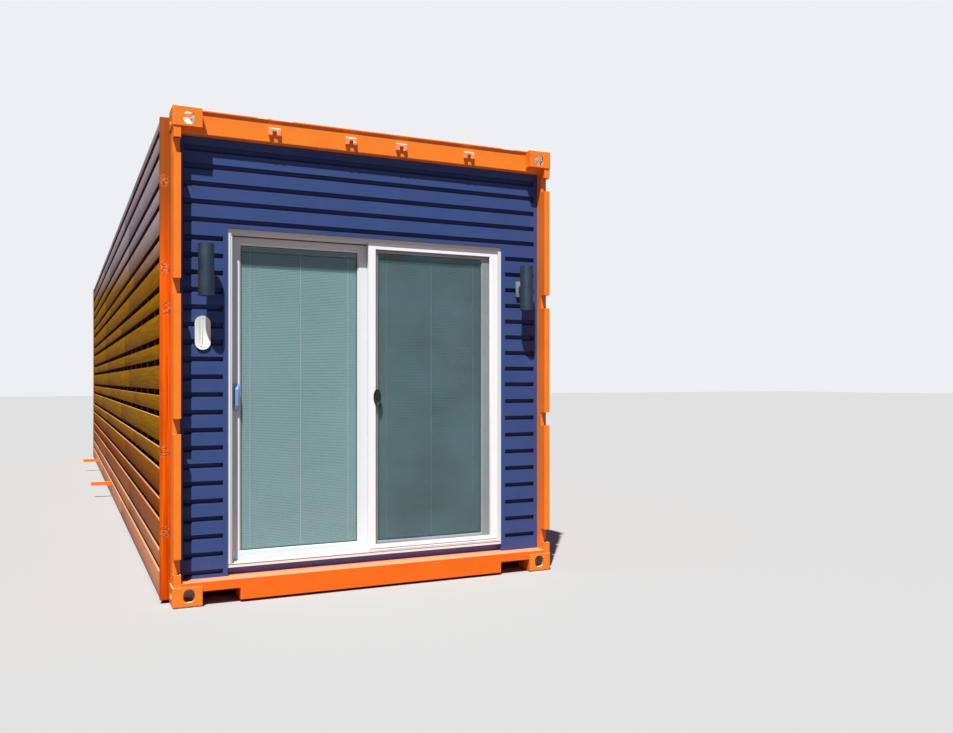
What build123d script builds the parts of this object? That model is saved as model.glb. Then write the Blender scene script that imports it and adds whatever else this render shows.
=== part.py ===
from build123d import *
from math import atan2, tan
import os

# The cabin is a forty foot high-cube container with its door end towards -Y. Inside this file
# x runs from the left side to the right, y from the door end to the rear and z from the ground up,
# in millimetres, and the finished pieces are moved to their common origin when they are written.

# Overall size of the box, over its corner castings
LENGTH = 12192.0
WIDTH = 2438.0
HEIGHT = 2896.0

# Corner castings
CASTING_LENGTH = 178.0
CASTING_WIDTH = 162.0
CASTING_HEIGHT = 118.0
CASTING_WALL = 16.0
CASTING_PLATE = 28.0
CASTING_ROUND = 12.0
APERTURE_FROM_END = 101.5
APERTURE_FROM_SIDE = 89.0
APERTURE_FROM_OUTSIDE = 68.0
END_APERTURE_WIDTH = 63.5
END_APERTURE_HEIGHT = 79.5
SIDE_APERTURE_LENGTH = 79.5
SIDE_APERTURE_HEIGHT = 51.0
LOCK_APERTURE_LENGTH = 124.0
LOCK_APERTURE_WIDTH = 63.5

# How far the structure stays inside the faces of the castings
SETBACK = 6.0
TOP_SETBACK = 12.0
RAIL_BOTTOM = 13.0

# Corner posts at the door end, each with the four cuts where a door hinge lug was burnt off
POST_WIDTH = 40.0
POST_DEPTH = 113.0
POST_FRONT_WALL = 12.0
POST_WALL = 6.0
LUG_CUT_HEIGHT = 90.0
LUG_CUT_DEPTH = 55.0
LUG_CUT_ABOVE_CASTING = 163.0
LUG_CUT_BELOW_CASTING = 67.0
LUG_CUT_COUNT = 4

# Corner posts at the rear end
REAR_POST_WIDTH = 100.0
REAR_POST_CHAMFER = 44.0
REAR_POST_WALL = 6.0

# Door header, a pressed box set back under a rain lip, and its four cam keepers
HEADER_FRONT = 63.0
HEADER_UNDER_TOP = 145.0
HEADER_WALL = 4.0
HEADER_BEND = 6.0
LIP_UNDER_TOP = 5.0
LIP_THICKNESS = 7.0
LIP_PROJECTION = 10.0
KEEPER_WIDTH = 70.0
KEEPER_HEIGHT = 43.0
KEEPER_ABOVE_BOTTOM = 44.0
KEEPER_PROJECTION = 20.0
KEEPER_CHAMFER = 6.0
KEEPER_SLOT_WIDTH = 26.0
KEEPER_SLOT_HEIGHT = 24.0
KEEPER_CENTRE_SHIFT = -5.0
KEEPER_INNER_OFFSET = 164.5
KEEPER_OUTER_OFFSET = 634.0

# Door sill, cut away beside each casting
SILL_BOTTOM = 17.0
SILL_TOP = 140.0
SILL_BACK = 175.0
SILL_WALL = 6.0
SILL_RECESS_LENGTH = 213.0
SILL_RECESS_HEIGHT = 70.0

# Rails
TOP_RAIL_SIZE = 60.0
TOP_RAIL_WALL = 3.0
BOTTOM_RAIL_HEIGHT = 162.0
BOTTOM_RAIL_TOP_FLANGE = 48.0
BOTTOM_RAIL_LOW_FLANGE = 30.0
BOTTOM_RAIL_WALL = 4.5
REAR_RAIL_DEPTH = 60.0
REAR_RAIL_WALL = 4.0
REAR_LEDGE = 48.0

# Corrugated steel sheets
SIDE_DEPTH = 36.0
SIDE_SHEET = 2.0
SIDE_OUTER_FLAT = 72.0
SIDE_INNER_FLAT = 70.0
SIDE_SLOPE = 68.0
REAR_DEPTH = 45.6
REAR_SHEET = 2.0
REAR_OUTER_FLAT = 110.0
REAR_INNER_FLAT = 104.0
REAR_SLOPE = 18.0
ROOF_DEPTH = 20.0
ROOF_SHEET = 2.0
ROOF_CREST_FLAT = 91.0
ROOF_TROUGH_FLAT = 90.0
ROOF_SLOPE = 14.0
ROOF_BELOW_CASTING = 10.0

# Floor
DECK_TOP = 175.0
DECK_THICKNESS = 28.0
MEMBER_HEIGHT = 122.0
MEMBER_WIDTH = 45.0
MEMBER_WALL = 4.0
MEMBER_PITCH = 305.0
MEMBER_FIRST = 260.0

# Grooved front wall, with one ladder of grooves over the door and one on each side of it
WALL_THICKNESS = 131.0
GROOVE_HEIGHT = 28.0
GROOVE_DEPTH = 25.0
GROOVE_SLOPE = 10.0
GROOVE_MARGIN = 26.0
OVER_GROOVE_ABOVE_FRAME = 42.0
OVER_GROOVE_PITCH = 105.7
OVER_GROOVE_COUNT = 5
LEFT_GROOVE_FIRST = 174.0
LEFT_LOW_GROOVE_PITCH = 105.4
LEFT_LOW_GROOVE_COUNT = 12
LEFT_HIGH_GROOVE_PITCH = 102.6
LEFT_HIGH_GROOVE_COUNT = 8
RIGHT_GROOVE_FIRST = 243.0
RIGHT_LOW_GROOVE_PITCH = 115.8
RIGHT_LOW_GROOVE_COUNT = 9
RIGHT_HIGH_GROOVE_PITCH = 108.3
RIGHT_HIGH_GROOVE_COUNT = 9

# Outer frame of the patio door, with one channel each for screen, fixed panel and sliding leaf
FRAME_WIDTH = 1800.0
FRAME_HEIGHT = 2036.0
FRAME_BOTTOM = 187.0
FRONT_LIP = 4.0
REAR_LIP = 6.0
LIP_REACH = 24.0
DIVIDER = 3.0
DIVIDER_REACH = 30.0
CHANNEL_FLOOR = 18.0
TRACK_HEIGHT = 3.0
TRACK_THICKNESS = 3.0

# Running clearances of the sliding leaf and of the insect screen
SIDE_CLEARANCE = 5.0
EDGE_CLEARANCE = 5.0
ROLLER_GAP = 0.3

# Glazed panels
LEAF_THICKNESS = 36.0
LEAF_WIDTH = 873.0
LEAF_OUTER_STILE = 66.5
LEAF_MEETING_STILE = 81.0
LEAF_TOP_FACE = 62.0
LEAF_BOTTOM_FACE = 58.0
FIXED_WIDTH = 904.5
FIXED_MEETING_STILE = 65.5
FIXED_OUTER_STILE = 116.0
FIXED_TOP_FACE = 65.0
FIXED_BOTTOM_FACE = 66.0
BEAD = 8.0
GLASS_THICKNESS = 18.0
PANE = 4.0

# Insect screen
SCREEN_THICKNESS = 12.0
SCREEN_WIDTH = 908.0
SCREEN_STILE = 47.0
SCREEN_RAIL = 40.0
MESH_THICKNESS = 1.0

# Rollers, handle and latch
ROLLER_RADIUS = 12.0
ROLLER_WIDTH = 8.0
ROLLER_FROM_END = 110.0
HANDLE_INSET = 19.5
HANDLE_WIDTH = 37.0
HANDLE_LENGTH = 164.0
HANDLE_CENTRE = 1208.0
HANDLE_REACH = 36.0
HANDLE_PLATE = 5.0
GRIP_WIDTH = 22.0
GRIP_THICKNESS = 13.0
LATCH_LENGTH = 105.0
LATCH_WIDTH = 49.0
LATCH_THICKNESS = 10.0
LATCH_INSET = 56.5
LATCH_CENTRE = 1203.5

# Blinds between the panes
BLIND_PANE_GAP = 1.0
BLIND_SIDE_GAP = 3.0
BLIND_FOOT_GAP = 6.0

# Linings of the room
LINING = 12.0
CEILING_LINING = 12.0
LINING_JOINT = 2.0

# Timber cladding of the left side
BATTEN_THICKNESS = 31.0
BATTEN_WIDTH = 60.0
BATTEN_EVERY = 2
BOARD_THICKNESS = 19.0
WIDE_BOARD = 142.0
NARROW_BOARD = 91.0
BOARD_GAP = 38.25
CLADDING_BOTTOM = 20.0
CLADDING_UNDER_TOP = 38.0
TRIM_PROUD = 7.0
TRIM_THICKNESS = 38.0

# Steel brackets that stand out through the lowest board
BRACKET_SIZE = 38.0
BRACKET_REACH = 210.0
BRACKET_CENTRE = 155.0
BRACKET_FIRST = 5986.0
BRACKET_SECOND = 9479.0

# Lamps and thermometer on the front wall, each placed from the middle of the wall beside the door
LAMP_DIAMETER = 89.0
LAMP_LENGTH = 303.0
LAMP_WALL = 3.0
LAMP_RECESS = 45.0
LAMP_ARM = 48.0
LAMP_ARM_SIZE = 36.0
LAMP_PLATE_WIDTH = 64.0
LAMP_PLATE_HEIGHT = 106.0
LAMP_PLATE_THICKNESS = 20.0
LEFT_LAMP_CENTRE_HEIGHT = 1955.0
RIGHT_LAMP_CENTRE_HEIGHT = 1942.0
DIAL_WIDTH = 88.0
DIAL_HEIGHT = 200.0
DIAL_THICKNESS = 12.0
DIAL_SHIFT = 5.5
DIAL_CENTRE = 1593.0

# Places worked out from the sizes above
POST_INNER = SETBACK + POST_WIDTH
POST_BACK = SETBACK + POST_DEPTH
WALL_FRONT = POST_BACK
WALL_BACK = WALL_FRONT + WALL_THICKNESS
REAR = LENGTH - SETBACK
CASTING_TOP_BOTTOM = HEIGHT - CASTING_HEIGHT
RAIL_START = CASTING_LENGTH
RAIL_END = LENGTH - CASTING_LENGTH
TOP_RAIL_TOP = HEIGHT - TOP_SETBACK
TOP_RAIL_BOTTOM = TOP_RAIL_TOP - TOP_RAIL_SIZE
BOTTOM_RAIL_TOP = RAIL_BOTTOM + BOTTOM_RAIL_HEIGHT
SIDE_INSIDE = SETBACK + SIDE_DEPTH + SIDE_SHEET
ROOF_TOP = HEIGHT - ROOF_BELOW_CASTING
ROOF_UNDERSIDE = ROOF_TOP - ROOF_DEPTH - ROOF_SHEET
HEADER_BOTTOM = HEIGHT - HEADER_UNDER_TOP
LIP_TOP = HEIGHT - LIP_UNDER_TOP
CLADDING_TOP = HEIGHT - CLADDING_UNDER_TOP
ROOM_TOP = TOP_RAIL_BOTTOM - CEILING_LINING
FRAME_LEFT = 0.5 * (WIDTH - FRAME_WIDTH)
FRAME_RIGHT = FRAME_LEFT + FRAME_WIDTH
FRAME_TOP = FRAME_BOTTOM + FRAME_HEIGHT
CHANNEL_LEFT = FRAME_LEFT + CHANNEL_FLOOR
CHANNEL_RIGHT = FRAME_RIGHT - CHANNEL_FLOOR
CHANNEL_BOTTOM = FRAME_BOTTOM + CHANNEL_FLOOR
CHANNEL_TOP = FRAME_TOP - CHANNEL_FLOOR
FRAME_BACK = WALL_BACK
LEAF_BACK = FRAME_BACK - REAR_LIP - SIDE_CLEARANCE
LEAF_FRONT = LEAF_BACK - LEAF_THICKNESS
FIXED_BACK = LEAF_FRONT - SIDE_CLEARANCE - DIVIDER
FIXED_FRONT = FIXED_BACK - LEAF_THICKNESS
SCREEN_BACK = FIXED_FRONT - DIVIDER - SIDE_CLEARANCE
SCREEN_FRONT = SCREEN_BACK - SCREEN_THICKNESS
FRAME_FRONT = SCREEN_FRONT - SIDE_CLEARANCE - FRONT_LIP
TRACK_TOP = CHANNEL_BOTTOM + TRACK_HEIGHT
RUNNING_BOTTOM = TRACK_TOP + EDGE_CLEARANCE
RUNNING_TOP = CHANNEL_TOP - EDGE_CLEARANCE
LEAF_LEFT = CHANNEL_LEFT + EDGE_CLEARANCE
LEAF_RIGHT = LEAF_LEFT + LEAF_WIDTH
FIXED_LEFT = CHANNEL_RIGHT - FIXED_WIDTH
SCREEN_RIGHT = CHANNEL_RIGHT - EDGE_CLEARANCE
SCREEN_LEFT = SCREEN_RIGHT - SCREEN_WIDTH
BOARD_INSIDE = SETBACK - BATTEN_THICKNESS
BOARD_OUTSIDE = BOARD_INSIDE - BOARD_THICKNESS
TRIM_OUTSIDE = BOARD_OUTSIDE - TRIM_PROUD
BRACKET_TIP = BOARD_OUTSIDE - BRACKET_REACH
BESIDE_DOOR = 0.5 * (POST_INNER + FRAME_LEFT)
LAMP_AXIS = WALL_FRONT - LAMP_PLATE_THICKNESS - LAMP_ARM - 0.5 * LAMP_DIAMETER
CENTRE_X = 0.5 * (BRACKET_TIP + WIDTH)
CENTRE_Y = 0.5 * (LAMP_AXIS - 0.5 * LAMP_DIAMETER + LENGTH)


def block(x0, x1, y0, y1, z0, z1):
    """A box between two corners."""
    size = Box(x1 - x0, y1 - y0, z1 - z0, align=(Align.MIN, Align.MIN, Align.MIN))
    return Pos(x0, y0, z0) * size


def tube(x0, x1, y0, y1, z0, z1, wall, along):
    """A box with a square hollow right through it along one axis."""
    step = Vector(*[0.0 if name == along else wall for name in "xyz"])
    inner = block(x0 + step.X, x1 - step.X, y0 + step.Y, y1 - step.Y, z0 + step.Z, z1 - step.Z)
    return block(x0, x1, y0, y1, z0, z1) - inner


def corrugated(start, end, crest_flat, slope, trough_flat, depth, sheet):
    """Section of a pressed sheet from start to end. It begins and ends on its outer flat at 0,
    steps inwards to depth and keeps the thickness of its sheet on flats and slopes alike."""
    pitch = crest_flat + trough_flat + 2 * slope
    waves = int((end - start - crest_flat) // pitch)
    first = start + 0.5 * (end - start - waves * pitch - crest_flat) + crest_flat
    mitre = sheet * tan(0.5 * atan2(depth, slope))
    outer = [(start, 0.0)]
    inner = [(start, sheet)]
    for wave in range(waves):
        base = first + wave * pitch
        foot = base + slope + trough_flat
        outer += [(base, 0.0), (base + slope, depth), (foot, depth), (foot + slope, 0.0)]
        inner += [(base - mitre, sheet), (base + slope - mitre, depth + sheet)]
        inner += [(foot + mitre, depth + sheet), (foot + slope + mitre, sheet)]
    outer.append((end, 0.0))
    inner.append((end, sheet))
    return make_face(Polyline(*outer, *reversed(inner), close=True))


def mirrored_x(shape):
    """The same shape on the other side of the box."""
    return Pos(WIDTH, 0, 0) * mirror(shape, about=Plane.YZ)


def mirrored_y(shape):
    """The same shape at the other end of the box."""
    return Pos(0, LENGTH, 0) * mirror(shape, about=Plane.XZ)


def mirrored_z(shape):
    """The same shape at the other level of the box."""
    return Pos(0, 0, HEIGHT) * mirror(shape, about=Plane.XY)


# Corner castings
def casting():
    """The bottom casting of the left front corner, hollow, with its three apertures."""
    body = block(0, CASTING_WIDTH, 0, CASTING_LENGTH, 0, CASTING_HEIGHT)
    upright = body.edges().filter_by(Axis.Z).group_by(Axis.X)[0].sort_by(Axis.Y)[0]
    across = body.edges().filter_by(Axis.X).group_by(Axis.Z)[0].sort_by(Axis.Y)[0]
    lengthwise = body.edges().filter_by(Axis.Y).group_by(Axis.Z)[0]
    body = fillet([upright, across] + list(lengthwise), CASTING_ROUND)
    body -= block(CASTING_WALL, CASTING_WIDTH - CASTING_WALL, CASTING_WALL,
                  CASTING_LENGTH - CASTING_WALL, CASTING_PLATE, CASTING_HEIGHT - CASTING_WALL)
    end = Plane(origin=(APERTURE_FROM_SIDE, 0, APERTURE_FROM_OUTSIDE), x_dir=(0, 0, 1), z_dir=(0, 1, 0))
    body -= extrude(end * SlotOverall(END_APERTURE_HEIGHT, END_APERTURE_WIDTH), CASTING_WALL)
    side = Plane(origin=(0, APERTURE_FROM_END, APERTURE_FROM_OUTSIDE), x_dir=(0, 1, 0), z_dir=(1, 0, 0))
    body -= extrude(side * SlotOverall(SIDE_APERTURE_LENGTH, SIDE_APERTURE_HEIGHT), CASTING_WALL)
    under = Plane(origin=(APERTURE_FROM_SIDE, APERTURE_FROM_END, 0), x_dir=(0, 1, 0), z_dir=(0, 0, 1))
    body -= extrude(under * SlotOverall(LOCK_APERTURE_LENGTH, LOCK_APERTURE_WIDTH), CASTING_PLATE)
    return body


def castings():
    """The four pairs of corner castings."""
    low = [casting(), mirrored_x(casting())]
    high = [mirrored_z(piece) for piece in low]
    return {
        "front_bottom_castings": low,
        "front_top_castings": high,
        "rear_bottom_castings": [mirrored_y(piece) for piece in low],
        "rear_top_castings": [mirrored_y(piece) for piece in high],
    }


# Posts
def front_post():
    """The left post of the door end: a hollow section with a return flange behind it."""
    low = CASTING_HEIGHT
    high = CASTING_TOP_BOTTOM
    post = block(SETBACK, POST_INNER, SETBACK, POST_BACK, low, high)
    post -= block(SETBACK + POST_WALL, POST_INNER - POST_WALL, SETBACK + POST_FRONT_WALL,
                  POST_BACK - POST_WALL, low, high)
    post += block(SETBACK, SETBACK + POST_WALL, POST_BACK, RAIL_START, low, high)
    cut_back = SETBACK + LUG_CUT_DEPTH
    first = low + LUG_CUT_ABOVE_CASTING
    pitch = (high - LUG_CUT_BELOW_CASTING - first) / (LUG_CUT_COUNT - 1)
    for index in range(LUG_CUT_COUNT):
        top = first + index * pitch
        bottom = top - LUG_CUT_HEIGHT
        post -= block(SETBACK, POST_INNER, SETBACK, cut_back, bottom, top)
        post += block(SETBACK + POST_WALL, POST_INNER - POST_WALL, cut_back,
                      cut_back + POST_WALL, bottom - POST_WALL, top + POST_WALL)
    return post


def rear_post():
    """The left post of the rear end, a pressed section with one corner taken off."""
    left = SETBACK
    right = SETBACK + REAR_POST_WIDTH
    corner = REAR_POST_CHAMFER
    outline = Polyline((left, RAIL_END), (right - corner, RAIL_END), (right, RAIL_END + corner),
                       (right, REAR), (left, REAR), close=True)
    section = make_face(outline)
    section -= offset(section, -REAR_POST_WALL)
    return Pos(0, 0, CASTING_HEIGHT) * extrude(section, CASTING_TOP_BOTTOM - CASTING_HEIGHT)


# Door end
def door_header():
    """A hollow pressed beam with a bent lower edge under a rain lip, cut to sit round both top castings."""
    top = LIP_TOP - LIP_THICKNESS
    beam = tube(POST_INNER, WIDTH - POST_INNER, HEADER_FRONT, CASTING_LENGTH, HEADER_BOTTOM, top,
                HEADER_WALL, "x")
    low_front = beam.edges().filter_by(Axis.X).group_by(Axis.Z)[0].sort_by(Axis.Y)[0]
    beam = fillet(low_front, HEADER_BEND)
    beam += block(CASTING_WIDTH, WIDTH - CASTING_WIDTH, HEADER_FRONT - LIP_PROJECTION, CASTING_LENGTH,
                  top, LIP_TOP)
    corner = block(POST_INNER, CASTING_WIDTH, 0, CASTING_LENGTH, CASTING_TOP_BOTTOM, HEIGHT)
    return beam - corner - mirrored_x(corner)


def cam_keepers():
    """Four forked keepers that once held the ends of the locking bars."""
    low = HEADER_BOTTOM + KEEPER_ABOVE_BOTTOM
    front = HEADER_FRONT - KEEPER_PROJECTION
    keepers = []
    for offset_x in (-KEEPER_OUTER_OFFSET, -KEEPER_INNER_OFFSET, KEEPER_INNER_OFFSET, KEEPER_OUTER_OFFSET):
        middle = 0.5 * WIDTH + KEEPER_CENTRE_SHIFT + offset_x
        body = block(middle - 0.5 * KEEPER_WIDTH, middle + 0.5 * KEEPER_WIDTH, front, HEADER_FRONT,
                     low, low + KEEPER_HEIGHT)
        front_top = body.edges().filter_by(Axis.X).group_by(Axis.Z)[-1].sort_by(Axis.Y)[0]
        body = chamfer(front_top, KEEPER_CHAMFER)
        body -= block(middle - 0.5 * KEEPER_SLOT_WIDTH, middle + 0.5 * KEEPER_SLOT_WIDTH, front,
                      HEADER_FRONT, low, low + KEEPER_SLOT_HEIGHT)
        keepers.append(body)
    return keepers


def door_sill():
    """A box sill, shallower beside the castings and thin where it runs over them."""
    recess_top = SILL_BOTTOM + SILL_RECESS_HEIGHT
    inner = CASTING_WIDTH + SILL_RECESS_LENGTH
    sill = block(inner, WIDTH - inner, SETBACK, SILL_BACK, SILL_BOTTOM, SILL_TOP)
    sill += block(CASTING_WIDTH, WIDTH - CASTING_WIDTH, SETBACK, SILL_BACK, recess_top, SILL_TOP)
    sill += block(POST_INNER, WIDTH - POST_INNER, SETBACK, SILL_BACK, CASTING_HEIGHT, SILL_TOP)
    wall = SILL_WALL
    sill -= block(inner + wall, WIDTH - inner - wall, SETBACK + wall, SILL_BACK - wall,
                  SILL_BOTTOM + wall, SILL_TOP - wall)
    sill -= block(CASTING_WIDTH + wall, WIDTH - CASTING_WIDTH - wall, SETBACK + wall, SILL_BACK - wall,
                  recess_top + wall, SILL_TOP - wall)
    return sill


def threshold_strip():
    """The strip between sill and door frame."""
    return block(FRAME_LEFT, FRAME_RIGHT, SILL_BACK, WALL_BACK, SILL_TOP, FRAME_BOTTOM)


# Grooved front wall
def groove(x0, x1, middle):
    """One groove: a sharp upper lip, a flat back and a lower lip that slopes out to the face."""
    half = 0.5 * GROOVE_HEIGHT
    back = WALL_FRONT + GROOVE_DEPTH
    outline = Polyline((WALL_FRONT, middle + half), (back, middle + half), (back, middle - half),
                       (WALL_FRONT + GROOVE_SLOPE, middle - half),
                       (WALL_FRONT, middle - half - GROOVE_SLOPE), close=True)
    section = Plane.YZ * make_face(outline)
    return Pos(x0, 0, 0) * extrude(section, x1 - x0)


def grooves(x0, x1, first, pitch, count):
    """A ladder of equal grooves."""
    return [groove(x0, x1, first + index * pitch) for index in range(count)]


def front_walls():
    """The grooved wall, split beside and over the door."""
    inner = SIDE_INSIDE
    left = block(inner, FRAME_LEFT, WALL_FRONT, WALL_BACK, SILL_TOP, FRAME_TOP)
    over = block(inner, WIDTH - inner, WALL_FRONT, WALL_BACK, FRAME_TOP, HEADER_BOTTOM)
    right = mirrored_x(left)
    start = POST_INNER + GROOVE_MARGIN
    end = FRAME_LEFT - GROOVE_MARGIN
    over -= grooves(start, WIDTH - start, FRAME_TOP + OVER_GROOVE_ABOVE_FRAME, OVER_GROOVE_PITCH,
                    OVER_GROOVE_COUNT)
    left -= grooves(start, end, LEFT_GROOVE_FIRST, LEFT_LOW_GROOVE_PITCH, LEFT_LOW_GROOVE_COUNT)
    upper = LEFT_GROOVE_FIRST + LEFT_LOW_GROOVE_COUNT * LEFT_LOW_GROOVE_PITCH
    left -= grooves(start, end, upper, LEFT_HIGH_GROOVE_PITCH, LEFT_HIGH_GROOVE_COUNT)
    right -= grooves(WIDTH - end, WIDTH - start, RIGHT_GROOVE_FIRST, RIGHT_LOW_GROOVE_PITCH,
                     RIGHT_LOW_GROOVE_COUNT)
    upper = RIGHT_GROOVE_FIRST + RIGHT_LOW_GROOVE_COUNT * RIGHT_LOW_GROOVE_PITCH
    right -= grooves(WIDTH - end, WIDTH - start, upper, RIGHT_HIGH_GROOVE_PITCH, RIGHT_HIGH_GROOVE_COUNT)
    return {"front_wall_left": left, "front_wall_over_door": over, "front_wall_right": right}


# Box structure behind the door end
def top_side_rail():
    """The square tube along the left edge of the roof."""
    return tube(SETBACK, SETBACK + TOP_RAIL_SIZE, RAIL_START, RAIL_END, TOP_RAIL_BOTTOM, TOP_RAIL_TOP,
                TOP_RAIL_WALL, "y")


def bottom_side_rail():
    """The channel along the left edge of the floor."""
    wall = BOTTOM_RAIL_WALL
    rail = block(SETBACK, SETBACK + wall, RAIL_START, RAIL_END, RAIL_BOTTOM, BOTTOM_RAIL_TOP)
    rail += block(SETBACK, SETBACK + BOTTOM_RAIL_TOP_FLANGE, WALL_BACK, RAIL_END,
                  BOTTOM_RAIL_TOP - wall, BOTTOM_RAIL_TOP)
    rail += block(SETBACK, SETBACK + BOTTOM_RAIL_LOW_FLANGE, RAIL_START, RAIL_END,
                  RAIL_BOTTOM, RAIL_BOTTOM + wall)
    return rail


def rear_top_rail():
    """The beam over the rear wall, with the plate that closes the roof and a lip for the wall."""
    front = REAR - REAR_RAIL_DEPTH
    rail = tube(CASTING_WIDTH, WIDTH - CASTING_WIDTH, front, REAR, TOP_RAIL_BOTTOM, TOP_RAIL_TOP,
                REAR_RAIL_WALL, "x")
    rail += block(CASTING_WIDTH, WIDTH - CASTING_WIDTH, RAIL_END, front, ROOF_UNDERSIDE,
                  ROOF_UNDERSIDE + REAR_RAIL_WALL)
    rail += block(CASTING_WIDTH, WIDTH - CASTING_WIDTH, REAR - REAR_RAIL_WALL, REAR,
                  CASTING_TOP_BOTTOM, TOP_RAIL_BOTTOM)
    rail += block(CASTING_WIDTH, WIDTH - CASTING_WIDTH, REAR - REAR_LEDGE, REAR,
                  CASTING_TOP_BOTTOM, CASTING_TOP_BOTTOM + REAR_RAIL_WALL)
    return rail


def rear_bottom_rail():
    """The box beam under the rear wall."""
    return tube(CASTING_WIDTH, WIDTH - CASTING_WIDTH, RAIL_END, REAR, SILL_BOTTOM, CASTING_HEIGHT,
                REAR_RAIL_WALL, "x")


def side_panel():
    """The corrugated steel of the left side, between its two rails."""
    section = corrugated(RAIL_START, RAIL_END, SIDE_OUTER_FLAT, SIDE_SLOPE, SIDE_INNER_FLAT,
                         SIDE_DEPTH, SIDE_SHEET)
    plan = Plane(origin=(SETBACK, 0, BOTTOM_RAIL_TOP), x_dir=(0, 1, 0), z_dir=(0, 0, -1))
    return extrude(plan * section, -(TOP_RAIL_BOTTOM - BOTTOM_RAIL_TOP))


def rear_end_panel():
    """The corrugated steel of the rear wall, between the rear posts."""
    start = SETBACK + REAR_POST_WIDTH
    section = corrugated(start, WIDTH - start, REAR_OUTER_FLAT, REAR_SLOPE, REAR_INNER_FLAT,
                         REAR_DEPTH, REAR_SHEET)
    plan = Plane(origin=(0, REAR, CASTING_HEIGHT), x_dir=(1, 0, 0), z_dir=(0, 0, -1))
    return extrude(plan * section, -(CASTING_TOP_BOTTOM - CASTING_HEIGHT))


def roof_panel():
    """The corrugated steel of the roof, between the top side rails."""
    section = corrugated(RAIL_START, RAIL_END, ROOF_CREST_FLAT, ROOF_SLOPE, ROOF_TROUGH_FLAT,
                         ROOF_DEPTH, ROOF_SHEET)
    edge = SETBACK + TOP_RAIL_SIZE
    side = Plane(origin=(edge, 0, ROOF_TOP), x_dir=(0, 1, 0), z_dir=(-1, 0, 0))
    return extrude(side * section, -(WIDTH - 2 * edge))


def cross_members():
    """Channels that carry the floor from rail to rail."""
    top = DECK_TOP - DECK_THICKNESS
    bottom = top - MEMBER_HEIGHT
    left = SETBACK + BOTTOM_RAIL_WALL
    count = int((RAIL_END - MEMBER_FIRST - MEMBER_WIDTH) // MEMBER_PITCH) + 1
    members = []
    for index in range(count):
        start = MEMBER_FIRST + index * MEMBER_PITCH
        end = start + MEMBER_WIDTH
        member = block(left, WIDTH - left, start, end, bottom, top)
        member -= block(left, WIDTH - left, start + MEMBER_WALL, end, bottom + MEMBER_WALL,
                        top - MEMBER_WALL)
        members.append(member)
    return members


def floor_deck():
    """The boards of the floor, between the top flanges of the bottom side rails."""
    edge = SETBACK + BOTTOM_RAIL_TOP_FLANGE
    return block(edge, WIDTH - edge, WALL_BACK, RAIL_END, DECK_TOP - DECK_THICKNESS, DECK_TOP)


# Linings of the room
def wall_linings():
    """Sheets on the inner flats of both side walls and one across the rear posts."""
    rear = RAIL_END - LINING
    left = block(SIDE_INSIDE, SIDE_INSIDE + LINING, WALL_BACK, rear - LINING_JOINT, BOTTOM_RAIL_TOP,
                 ROOM_TOP)
    back = block(SIDE_INSIDE, WIDTH - SIDE_INSIDE, rear, RAIL_END, DECK_TOP, ROOM_TOP)
    return [left, mirrored_x(left), back]


def ceiling_lining():
    """The sheet under the top side rails."""
    return block(POST_INNER, WIDTH - POST_INNER, RAIL_START, RAIL_END, ROOM_TOP, TOP_RAIL_BOTTOM)


# Timber cladding of the left side
def batten_places():
    """Starts of the upright battens, each centred on an outer flat of the corrugated side."""
    pitch = SIDE_OUTER_FLAT + SIDE_INNER_FLAT + 2 * SIDE_SLOPE
    waves = int((RAIL_END - RAIL_START - SIDE_OUTER_FLAT) // pitch)
    first = RAIL_START + 0.5 * (RAIL_END - RAIL_START - waves * pitch)
    return [first + wave * pitch - 0.5 * BATTEN_WIDTH for wave in range(BATTEN_EVERY, waves, BATTEN_EVERY)]


def cladding_battens():
    """Upright battens between the corrugated side and the boards."""
    first = RAIL_START + TRIM_THICKNESS
    last = RAIL_END - TRIM_THICKNESS - BATTEN_WIDTH
    starts = [first] + [start for start in batten_places() if first + BATTEN_WIDTH < start < last - BATTEN_WIDTH]
    battens = []
    for start in starts + [last]:
        batten = block(BOARD_INSIDE, SETBACK, start, start + BATTEN_WIDTH, CLADDING_BOTTOM, CLADDING_TOP)
        battens.append(batten - cladding_brackets())
    return battens


def cladding_brackets():
    """Two square steel bars that stand out from the bottom side rail."""
    bars = []
    for middle in (BRACKET_FIRST, BRACKET_SECOND):
        bars.append(block(BRACKET_TIP, SETBACK, middle - 0.5 * BRACKET_SIZE, middle + 0.5 * BRACKET_SIZE,
                          BRACKET_CENTRE - 0.5 * BRACKET_SIZE, BRACKET_CENTRE + 0.5 * BRACKET_SIZE))
    return bars


def cladding_boards():
    """Wide and narrow boards in turn, with open gaps, and a ripped one at the top."""
    boards = []
    level = CLADDING_BOTTOM
    wide = True
    start = RAIL_START + TRIM_THICKNESS
    end = RAIL_END - TRIM_THICKNESS
    while level < CLADDING_TOP - BOARD_GAP * 0.5:
        height = min(WIDE_BOARD if wide else NARROW_BOARD, CLADDING_TOP - level)
        board = block(BOARD_OUTSIDE, BOARD_INSIDE, start, end, level, level + height)
        if level < BRACKET_CENTRE + 0.5 * BRACKET_SIZE:
            board -= cladding_brackets()
        boards.append(board)
        level += height + BOARD_GAP
        wide = not wide
    return boards


def cladding_trims():
    """Upright corner timbers at both ends of the boards."""
    front = block(TRIM_OUTSIDE, SETBACK, RAIL_START, RAIL_START + TRIM_THICKNESS,
                  CLADDING_BOTTOM, CLADDING_TOP)
    return [front, mirrored_y(front)]


# Sliding patio door
def ring(x0, x1, y0, y1, z0, z1, left, right, low, high):
    """A rectangular frame with its own width on each of the four sides."""
    return block(x0, x1, y0, y1, z0, z1) - block(x0 + left, x1 - right, y0, y1, z0 + low, z1 - high)


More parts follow.
